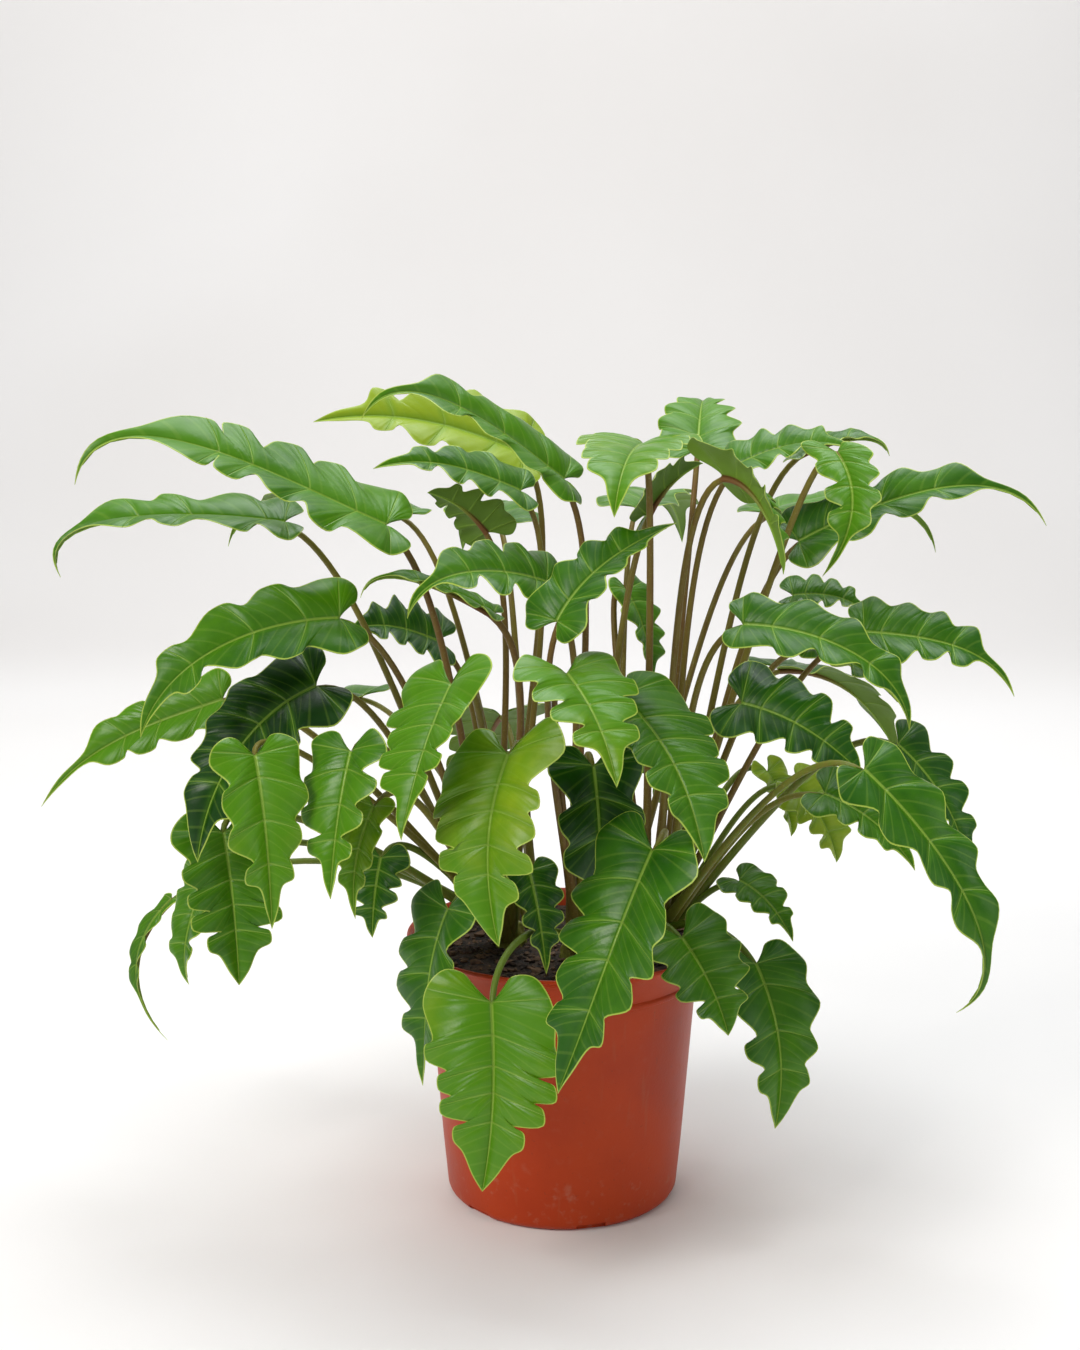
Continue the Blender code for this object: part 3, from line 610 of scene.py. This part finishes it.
class Nodes:
    """A short way to write a material's node tree."""

    def __init__(self, name):
        self.material = bpy.data.materials.new(name)
        self.material.use_nodes = True
        self.tree = self.material.node_tree
        self.shader = self.tree.nodes["Principled BSDF"]

    def link(self, value, socket):
        if isinstance(value, bpy.types.NodeSocket):
            self.tree.links.new(value, socket)
        elif isinstance(value, tuple) and len(value) == 3 and socket.type == "RGBA":
            socket.default_value = (*value, 1)
        else:
            socket.default_value = value

    def node(self, kind, **inputs):
        node = self.tree.nodes.new(kind)
        for name, value in inputs.items():
            self.link(value, node.inputs[name.replace("_", " ")])
        return node

    def math(self, operation, *values):
        node = self.tree.nodes.new("ShaderNodeMath")
        node.operation = operation
        for number, value in enumerate(values):
            self.link(value, node.inputs[number])
        return node.outputs[0]

    def total(self, first, *scaled):
        """first plus each (value, factor) of the others."""
        for value, factor in scaled:
            first = self.math("ADD", first, self.math("MULTIPLY", value, factor))
        return first

    def carried(self, name):
        """A value that each vertex carries, one of VALUES."""
        node = self.tree.nodes.new("ShaderNodeAttribute")
        node.attribute_name = name
        return node.outputs["Fac"]

    def ramp(self, value, low, high, out_low=0.0, out_high=1.0):
        """value turned smoothly from out_low at low to out_high at high."""
        node = self.tree.nodes.new("ShaderNodeMapRange")
        node.interpolation_type = "SMOOTHSTEP"
        for number, given in enumerate((value, low, high, out_low, out_high)):
            self.link(given, node.inputs[number])
        return node.outputs[0]

    def position(self):
        """Where a point lies in the object, in metres."""
        return self.node("ShaderNodeTexCoord").outputs["Object"]

    def noise(self, scale, detail):
        """Noise with scale waves in a metre."""
        node = self.node("ShaderNodeTexNoise", Vector=self.position(), Scale=scale, Detail=detail)
        return node.outputs["Fac"]

    def streaks(self, across, along, detail):
        """Noise drawn out along Z, with across and along waves in a metre."""
        size = (across, across, along)
        mapped = self.node("ShaderNodeMapping", Vector=self.position(), Scale=size).outputs[0]
        node = self.node("ShaderNodeTexNoise", Vector=mapped, Scale=1.0, Detail=detail)
        return node.outputs["Fac"]

    def mix(self, factor, a, b):
        node = self.tree.nodes.new("ShaderNodeMix")
        node.data_type = "RGBA"
        self.link(factor, node.inputs[0])
        self.link(a, node.inputs[6])
        self.link(b, node.inputs[7])
        return node.outputs[2]

    def bump(self, height, distance):
        node = self.node("ShaderNodeBump", Height=height, Distance=distance)
        return node.outputs["Normal"]

    def finish(self, color, roughness, normal=None, **fixed):
        """The material, with the shader's sockets named in fixed set as they are."""
        self.link(color, self.shader.inputs["Base Color"])
        self.link(roughness, self.shader.inputs["Roughness"])
        if normal:
            self.link(normal, self.shader.inputs["Normal"])
        for name, value in fixed.items():
            self.shader.inputs[name.replace("_", " ")].default_value = value
        return self.material


DARK_GREEN = (0.004, 0.032, 0.002)
MID_GREEN = (0.015, 0.092, 0.001)
FRESH_GREEN = (0.074, 0.225, 0.002)
YELLOW_GREEN = (0.25, 0.36, 0.012)
VEIN_GREEN = (0.23, 0.38, 0.045)
MARGIN_GREEN = (0.38, 0.50, 0.07)
UNDER_GREEN = (0.045, 0.11, 0.008)
UNDER_FRESH = (0.15, 0.27, 0.025)
RED_BROWN = (0.16, 0.045, 0.02)

PETIOLE_GREEN = (0.12, 0.19, 0.016)
PETIOLE_OLIVE = (0.18, 0.155, 0.020)
PETIOLE_BROWN = (0.15, 0.078, 0.018)
SHEATH_GREEN = (0.19, 0.22, 0.045)
PETIOLE_SPECK = (0.28, 0.25, 0.10)

POT_RED = (0.390, 0.034, 0.002)
POT_ORANGE = (0.470, 0.047, 0.004)
POT_SCUFF = (0.38, 0.09, 0.035)
POT_DUST = (0.42, 0.27, 0.19)
POT_SPECK = (0.10, 0.03, 0.015)

PEAT_DARK = (0.010, 0.006, 0.004)
PEAT_BROWN = (0.055, 0.030, 0.017)
PEAT_CRUMB = (0.13, 0.075, 0.040)
BARK_DARK = (0.020, 0.011, 0.007)
BARK_BROWN = (0.14, 0.075, 0.038)
BARK_PALE = (0.24, 0.15, 0.085)

# Grey of the painted soft shade on the floor and backdrop, and their pale ground
FLOOR_SHADE_GREY = (0.86, 0.84, 0.825)
FLOOR_PALE = (0.91, 0.895, 0.885)


def green(nodes):
    """The blade's green, by its tone and two sizes of blotch."""
    blotch = nodes.noise(14.0, 4.0)
    fine = nodes.noise(90.0, 3.0)
    tone = nodes.math("ADD", nodes.carried("tone"), nodes.math("MULTIPLY_ADD", blotch, 1.5, 0.5))
    tone = nodes.math("ADD", nodes.total(tone, (fine, 0.5)), -1.0)
    color = nodes.mix(nodes.ramp(tone, -1.0, 0.0), DARK_GREEN, MID_GREEN)
    color = nodes.mix(nodes.ramp(tone, 0.0, 1.0), color, FRESH_GREEN)
    # Yellow green is young blades' own colour and, where the tone is set near 2, painted light
    # shining through the blade from behind
    return nodes.mix(nodes.ramp(tone, 1.0, 2.0), color, YELLOW_GREEN)


def leaf_upper():
    """Mottled green, darker away from the veins, with pale veins, midrib and margin."""
    nodes = Nodes("leaf_upper")
    vein, mid = nodes.carried("vein"), nodes.carried("mid")
    near = nodes.math("MINIMUM", nodes.ramp(vein, 0.0, 9.0), nodes.ramp(mid, 0.0, 6.0))
    color = nodes.mix(nodes.ramp(near, 0.0, 1.0, 0.35, 0.0), green(nodes), FRESH_GREEN)
    fine_veins = nodes.math("SINE", nodes.math("MULTIPLY", nodes.carried("run"), 4 * math.pi))
    color = nodes.mix(nodes.ramp(fine_veins, 0.75, 1.0, 0.0, 0.16), color, VEIN_GREEN)
    color = nodes.mix(nodes.ramp(vein, 0.35, 1.0, 0.62, 0.0), color, VEIN_GREEN)
    color = nodes.mix(nodes.ramp(mid, 0.45, 1.0, 0.9, 0.0), color, VEIN_GREEN)
    color = nodes.mix(nodes.ramp(nodes.carried("edge"), 0.35, 0.95, 0.95, 0.0), color, MARGIN_GREEN)
    sheen = nodes.noise(35.0, 2.0)
    roughness = nodes.ramp(sheen, 0.3, 0.7, 0.30, 0.44)
    height = nodes.total(
        nodes.math("MULTIPLY", nodes.ramp(vein, 0.0, 1.6), 0.6),
        (nodes.ramp(mid, 0.0, 1.4), 0.8),
        (fine_veins, -0.12),
        (nodes.noise(420.0, 2.0), 0.25),
        (nodes.noise(60.0, 2.0), 1.0),
    )
    return nodes.finish(color, roughness, nodes.bump(height, 0.4 * MM), Specular_IOR_Level=0.3)


def leaf_under():
    """Paler and duller than the upper face, with a midrib that is red-brown near its base."""
    nodes = Nodes("leaf_under")
    vein, mid = nodes.carried("vein"), nodes.carried("mid")
    blotch = nodes.noise(18.0, 4.0)
    tone = nodes.math("ADD", nodes.carried("tone"), nodes.math("MULTIPLY_ADD", blotch, 1.2, 0.5))
    # The same tone makes the underside of t2, r10 and r11 paler as well: painted light from behind
    color = nodes.mix(nodes.ramp(tone, 0.0, 2.0), UNDER_GREEN, UNDER_FRESH)
    color = nodes.mix(nodes.ramp(vein, 0.4, 1.4, 0.5, 0.0), color, VEIN_GREEN)
    red = nodes.mix(nodes.ramp(nodes.carried("along"), 0.1, 0.75), RED_BROWN, VEIN_GREEN)
    color = nodes.mix(nodes.ramp(mid, 0.4, 1.3, 0.9, 0.0), color, red)
    height = nodes.math("MULTIPLY", nodes.ramp(vein, 0.0, 1.6), -0.8)
    height = nodes.total(height, (nodes.noise(420.0, 2.0), 0.3))
    roughness = nodes.ramp(nodes.noise(40.0, 2.0), 0.3, 0.7, 0.45, 0.6)
    return nodes.finish(color, roughness, nodes.bump(height, 0.4 * MM), Specular_IOR_Level=0.25)


def petiole_skin():
    """From green to olive and brown with the tone, in fine streaks, and greener at the foot."""
    nodes = Nodes("petiole_skin")
    streak = nodes.streaks(420.0, 22.0, 3.0)
    tone = nodes.total(nodes.carried("tone"), (streak, 0.7))
    color = nodes.mix(nodes.ramp(tone, 0.35, 1.0), PETIOLE_GREEN, PETIOLE_OLIVE)
    color = nodes.mix(nodes.ramp(tone, 1.0, 1.7), color, PETIOLE_BROWN)
    foot = nodes.ramp(nodes.carried("along"), 0.0, 0.25, 0.5, 0.0)
    color = nodes.mix(foot, color, SHEATH_GREEN)
    speck = nodes.noise(900.0, 1.0)
    color = nodes.mix(nodes.ramp(speck, 0.62, 0.72, 0.0, 0.35), color, PETIOLE_SPECK)
    height = nodes.total(streak, (speck, 0.2))
    roughness = nodes.ramp(streak, 0.3, 0.7, 0.36, 0.52)
    return nodes.finish(color, roughness, nodes.bump(height, 0.25 * MM), Specular_IOR_Level=0.3)


def pot_plastic():
    """Moulded plastic with faint clouds, upright scuffs, dust near the foot and dark specks."""
    nodes = Nodes("pot_plastic")
    height_at = nodes.node("ShaderNodeSeparateXYZ", Vector=nodes.position()).outputs["Z"]
    cloud = nodes.noise(16.0, 4.0)
    color = nodes.mix(nodes.ramp(cloud, 0.3, 0.7), POT_RED, POT_ORANGE)
    scuff = nodes.ramp(nodes.streaks(160.0, 14.0, 5.0), 0.60, 0.74, 0.0, 0.30)
    color = nodes.mix(scuff, color, POT_SCUFF)
    dust = nodes.ramp(nodes.noise(160.0, 5.0), 0.55, 0.8)
    low = nodes.ramp(height_at, 0.0, 0.05, 0.45, 0.06)
    color = nodes.mix(nodes.math("MULTIPLY", dust, low), color, POT_DUST)
    speck = nodes.ramp(nodes.noise(520.0, 1.0), 0.70, 0.76, 0.0, 0.25)
    color = nodes.mix(speck, color, POT_SPECK)
    roughness = nodes.ramp(nodes.total(cloud, (dust, 0.4)), 0.3, 1.0, 0.40, 0.58)
    height = nodes.total(nodes.noise(700.0, 2.0), (nodes.noise(60.0, 2.0), 2.0))
    return nodes.finish(color, roughness, nodes.bump(height, 0.10 * MM), Specular_IOR_Level=0.25)


def peat():
    """Damp, dark and crumbly, with paler crumbs."""
    nodes = Nodes("peat")
    grain = nodes.noise(500.0, 4.0)
    lump = nodes.noise(140.0, 4.0)
    color = nodes.mix(nodes.ramp(lump, 0.35, 0.65), PEAT_DARK, PEAT_BROWN)
    color = nodes.mix(nodes.ramp(grain, 0.62, 0.75, 0.0, 0.6), color, PEAT_CRUMB)
    height = nodes.math("ADD", nodes.math("MULTIPLY", lump, 1.5), grain)
    roughness = nodes.ramp(grain, 0.3, 0.7, 0.8, 1.0)
    return nodes.finish(color, roughness, nodes.bump(height, 1.2 * MM))


def bark():
    """Chips from dark to pale, from one to the next and within each."""
    nodes = Nodes("bark")
    grain = nodes.noise(380.0, 4.0)
    tone = nodes.noise(120.0, 1.0)
    color = nodes.mix(nodes.ramp(tone, 0.35, 0.65), BARK_DARK, BARK_BROWN)
    color = nodes.mix(nodes.ramp(grain, 0.55, 0.7, 0.0, 0.4), color, BARK_PALE)
    return nodes.finish(color, 0.85, nodes.bump(grain, 0.5 * MM))


def stage_skin():
    nodes = Nodes("stage_skin")
    # Broad grey clouds over the pale floor and backdrop are painted soft shade
    cloud = nodes.noise(0.7, 2.0)
    color = nodes.mix(nodes.ramp(cloud, 0.35, 0.65), FLOOR_SHADE_GREY, FLOOR_PALE)
    return nodes.finish(color, 0.9)


def wall_radius(height):
    """Outer radius of the pot's tapering body."""
    return FOOT_RADIUS + (WALL_TOP_RADIUS - FOOT_RADIUS) * height / RIDGE_HEIGHT


def pot_outside():
    """The outer profile, from the middle of the bottom up to the rim, with its edges rounded."""
    foot = [(0, 0), (FOOT_RADIUS * 0.5, 0)]
    for step in range(FOOT_STEPS + 1):
        angle = math.radians(90 * step / FOOT_STEPS)
        radius = FOOT_RADIUS - FOOT_ROUND * (1 - math.sin(angle))
        foot.append((radius, FOOT_ROUND * (1 - math.cos(angle))))
    body = [(wall_radius(RIDGE_HEIGHT * part), RIDGE_HEIGHT * part) for part in (0.25, 0.5, 0.75)]
    ridge = [
        (wall_radius(RIDGE_HEIGHT) - 0.35 * MM, RIDGE_HEIGHT - 4 * MM),
        (wall_radius(RIDGE_HEIGHT) - 0.05 * MM, RIDGE_HEIGHT - 2 * MM),
        (RIDGE_RADIUS - 0.15 * MM, RIDGE_HEIGHT - 1.3 * MM),
        (RIDGE_RADIUS, RIDGE_HEIGHT - 0.8 * MM),
        (RIDGE_RADIUS, RIDGE_HEIGHT + 0.4 * MM),
        (RIDGE_RADIUS - 0.25 * MM, RIDGE_HEIGHT + 1.1 * MM),
        (RIDGE_RADIUS - 0.8 * MM, RIDGE_HEIGHT + 2 * MM),
        (RIDGE_RADIUS - 0.4 * MM, RIDGE_HEIGHT + 4 * MM),
    ]
    collar = [
        (RIDGE_RADIUS + 4 * MM, POT_HEIGHT - 11 * MM),
        (RIM_RADIUS - 5.5 * MM, POT_HEIGHT - 6.5 * MM),
        (RIM_RADIUS - 3 * MM, POT_HEIGHT - 3 * MM),
        (RIM_RADIUS - 1 * MM, POT_HEIGHT - 2.2 * MM),
        (RIM_RADIUS - 0.2 * MM, POT_HEIGHT - 1.8 * MM),
        (RIM_RADIUS, POT_HEIGHT - 1.2 * MM),
        (RIM_RADIUS - 0.15 * MM, POT_HEIGHT - 0.4 * MM),
        (RIM_RADIUS - 0.6 * MM, POT_HEIGHT),
    ]
    return foot + body + ridge + collar


def pot_inside():
    """The inner profile, from the rim down to the middle of the floor."""
    return [
        (RIM_RADIUS - 1.8 * MM, POT_HEIGHT),
        (RIM_RADIUS - 2.4 * MM, POT_HEIGHT - 0.4 * MM),
        (RIM_RADIUS - 5.5 * MM, POT_HEIGHT - 4 * MM),
        (RIDGE_RADIUS + 1.5 * MM, POT_HEIGHT - 12 * MM),
        (WALL_TOP_RADIUS - WALL, RIDGE_HEIGHT),
        (wall_radius(FOOT_ROUND) - WALL, FOOT_ROUND + 1 * MM),
        (FOOT_RADIUS - FOOT_ROUND, FLOOR),
        (0, FLOOR),
    ]


def turned(profile, sides):
    """A bmesh with the (radius, height) profile turned about Z. Its ends lie on the axis."""
    bm = bmesh.new()
    verts = [bm.verts.new((radius, 0, height)) for radius, height in profile]
    edges = [bm.edges.new(pair) for pair in zip(verts, verts[1:])]
    bmesh.ops.spin(
        bm, geom=verts + edges, axis=(0, 0, 1), cent=(0, 0, 0), steps=sides, angle=2 * math.pi
    )
    bmesh.ops.remove_doubles(bm, verts=bm.verts[:], dist=0.001 * MM)
    bmesh.ops.recalc_face_normals(bm, faces=bm.faces[:])
    return bm


def mesh_from(name, bm, material, sharp):
    """bm as a smooth mesh, with edges of more than sharp degrees left sharp."""
    mesh = bpy.data.meshes.new(name)
    bm.to_mesh(mesh)
    bm.free()
    mesh.materials.append(material)
    mesh.polygons.foreach_set("use_smooth", [True] * len(mesh.polygons))
    mesh.set_sharp_from_angle(angle=math.radians(sharp))
    return mesh


def notch_cutter():
    """Rounded blocks round the pot's foot."""
    width, depth, height = NOTCH_SIZE
    bm = bmesh.new()
    for notch in range(NOTCHES):
        turn = Matrix.Rotation(2 * math.pi * notch / NOTCHES + NOTCH_TURN, 4, "Z")
        middle = Matrix.Translation((0, -FOOT_RADIUS - NOTCH_OUT, 0))
        size = Matrix.Diagonal((width, depth, 2 * height, 1))
        bmesh.ops.create_cube(bm, size=1, matrix=turn @ middle @ size)
    bmesh.ops.bevel(
        bm, geom=bm.edges[:], offset=NOTCH_ROUND, segments=3, affect="EDGES", profile=0.5
    )
    return bm


def make_pot(material):
    """The turned pot, with its drain notches cut through the foot."""
    wall = turned(pot_outside() + pot_inside(), POT_SIDES)
    shell = bpy.data.objects.new("shell", mesh_from("shell", wall, material, POT_SHARP))
    notches = mesh_from("cutter", notch_cutter(), material, POT_SHARP)
    cutter = bpy.data.objects.new("cutter", notches)
    for obj in (shell, cutter):
        bpy.context.scene.collection.objects.link(obj)
    modifier = shell.modifiers.new("Cut", "BOOLEAN")
    modifier.object = cutter
    modifier.solver = "EXACT"
    shape = shell.evaluated_get(bpy.context.evaluated_depsgraph_get())
    mesh = bpy.data.meshes.new_from_object(shape)
    for obj in (shell, cutter):
        bpy.data.objects.remove(obj)
    mesh.set_sharp_from_angle(angle=math.radians(POT_SHARP))
    place("nursery_pot", mesh, "pot", "pot")


def inner_radius(height):
    """Radius of the pot's inside at a height."""
    profile = pot_inside()[1:]
    for (r1, z1), (r0, z0) in zip(profile, profile[1:]):
        if z0 <= height <= z1:
            return r0 + (r1 - r0) * (height - z0) / (z1 - z0)
    return profile[-2][0]


def soil_height(x, y):
    """Height of the soil's lumpy top."""
    point = Vector((x, y, 0))
    return SOIL_TOP + sum(noise.noise(point * waves) * height for waves, height in SOIL_LUMPS)


def make_soil(material):
    """Soil that fills the pot, with a lumpy top."""
    top = inner_radius(SOIL_TOP) - SOIL_CLEAR
    heights = [FLOOR + 0.3 * MM, FOOT_ROUND + 1 * MM, RIDGE_HEIGHT, POT_HEIGHT - 12 * MM]
    profile = [(0, heights[0])] + [(inner_radius(h) - SOIL_CLEAR, h) for h in heights]
    profile += [(top * ring / SOIL_RINGS, SOIL_TOP) for ring in range(SOIL_RINGS, -1, -1)]
    bm = turned(profile, SOIL_SIDES)
    for vert in bm.verts:
        if vert.co.z > SOIL_TOP - 0.1 * MM and math.hypot(vert.co.x, vert.co.y) < top * 0.99:
            vert.co.z = soil_height(vert.co.x, vert.co.y)
    place("soil_bed", mesh_from("soil_bed", bm, material, SOIL_SHARP), "soil", "soil")


def make_chips(material):
    """Loose rough chips of bark, part sunk in the soil's top."""
    reach = inner_radius(SOIL_TOP) - SOIL_CLEAR - CHIP_MARGIN
    rng = random.Random(CHIP_SEED)
    noise.seed_set(CHIP_SEED)  # noise_vector is else different in each run
    chips = bmesh.new()
    for _ in range(CHIPS):
        radius = reach * math.sqrt(rng.random())
        turn = rng.uniform(0, 2 * math.pi)
        x, y = radius * math.cos(turn), radius * math.sin(turn)
        size = rng.uniform(*CHIP_SIZE) * MM
        long, flat = rng.uniform(*CHIP_LENGTH), rng.uniform(*CHIP_THICKNESS)
        matrix = Matrix.Translation((x, y, soil_height(x, y) + size * 0.2))
        matrix @= Matrix.Rotation(rng.uniform(0, math.pi), 4, "Z")
        matrix @= Matrix.Rotation(rng.uniform(-CHIP_TILT, CHIP_TILT), 4, "X")
        matrix @= Matrix.Diagonal((size * long, size, size * flat, 1))
        made = bmesh.ops.create_icosphere(chips, subdivisions=1, radius=1, matrix=matrix)
        for vert in made["verts"]:
            vert.co += noise.noise_vector(vert.co * CHIP_BUMPS) * size * CHIP_ROUGH
    place("bark_chips", mesh_from("bark_chips", chips, material, CHIP_SHARP), "soil")


def make_plant():
    """Each crown with its petioles, then the front blades one by one."""
    materials = (leaf_upper(), leaf_under(), petiole_skin())
    leaves = [Leaf._make(row) for row in LEAVES]
    for seed, crown_name in enumerate(("left", "middle", "right")):
        crown = CROWNS[crown_name]
        mine = [leaf for leaf in leaves if leaf.crown == crown_name]
        patches = [stock(crown, seed)]
        patches += [petiole(crown, number, leaf) for number, leaf in enumerate(mine)]
        add_piece("petioles_" + crown_name, patches, materials, "petiole", "stems_" + crown_name)
    for seed, crown_name in enumerate(("back_left", "back_right")):
        crown = CROWNS[crown_name]
        mine = [Leaf._make(row) for row in BACK_LEAVES if row[1] == crown_name]
        patches = [stock(crown, seed + 3)]
        for number, leaf in enumerate(mine):
            patches += [petiole(crown, number, leaf), blade(leaf)]
        add_piece("foliage_" + crown_name, patches, materials, "leaf", "spray_" + crown_name)
    for leaf in leaves:
        add_piece("blade_" + leaf.name, [blade(leaf)], materials, "leaf", "leaf_" + leaf.name)


def make_stage():
    """A pale floor that turns up into a backdrop."""
    profile = [(STAGE_FRONT, 0.0), (STAGE_BACK, 0.0)]
    for step in range(1, STAGE_STEPS + 1):
        angle = math.radians(90 * step / STAGE_STEPS)
        y = STAGE_BACK + STAGE_ROUND * math.sin(angle)
        profile.append((y, STAGE_ROUND * (1 - math.cos(angle))))
    profile.append((STAGE_BACK + STAGE_ROUND, STAGE_TOP))
    verts = [(x, y, z) for x in (-STAGE_SIDE, STAGE_SIDE) for y, z in profile]
    count = len(profile)
    faces = [(i, i + count, i + count + 1, i + 1) for i in range(count - 1)]
    mesh = bpy.data.meshes.new("studio_floor")
    mesh.from_pydata(verts, [], faces)
    mesh.polygons.foreach_set("use_smooth", [True] * len(faces))
    mesh.materials.append(stage_skin())
    floor = bpy.data.objects.new("studio_floor", mesh)
    bpy.context.scene.collection.objects.link(floor)


def area_light(name, size, power, place_at, aim, color):
    """A soft box at place_at, turned to aim."""
    light = bpy.data.lights.new(name, "AREA")
    light.shape = "RECTANGLE"
    light.size, light.size_y = size
    light.energy = power
    light.color = color
    obj = bpy.data.objects.new(name, light)
    obj.location = place_at
    direction = Vector(aim) - Vector(place_at)
    obj.rotation_euler = direction.to_track_quat("-Z", "Y").to_euler()
    bpy.context.scene.collection.objects.link(obj)


def make_light():
    for light in LIGHTS:
        area_light(*light)
    world = bpy.data.worlds.new("studio_air")
    world.use_nodes = True
    background = world.node_tree.nodes["Background"]
    background.inputs["Color"].default_value = AIR_COLOR
    background.inputs["Strength"].default_value = AIR_STRENGTH
    bpy.context.scene.world = world
    bpy.context.scene.view_settings.view_transform = "Standard"


def make_camera():
    camera = bpy.data.cameras.new("camera")
    camera.lens = CAMERA_LENS
    camera.sensor_width = CAMERA_SENSOR
    obj = bpy.data.objects.new("camera", camera)
    obj.location = CAMERA_PLACE
    obj.rotation_euler = (math.pi / 2 - CAMERA_DOWN, 0, 0)
    bpy.context.scene.collection.objects.link(obj)
    bpy.context.scene.camera = obj


def main():
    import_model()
    make_camera()
    make_plant()
    make_pot(pot_plastic())
    make_soil(peat())
    make_chips(bark())
    make_stage()
    make_light()


main()
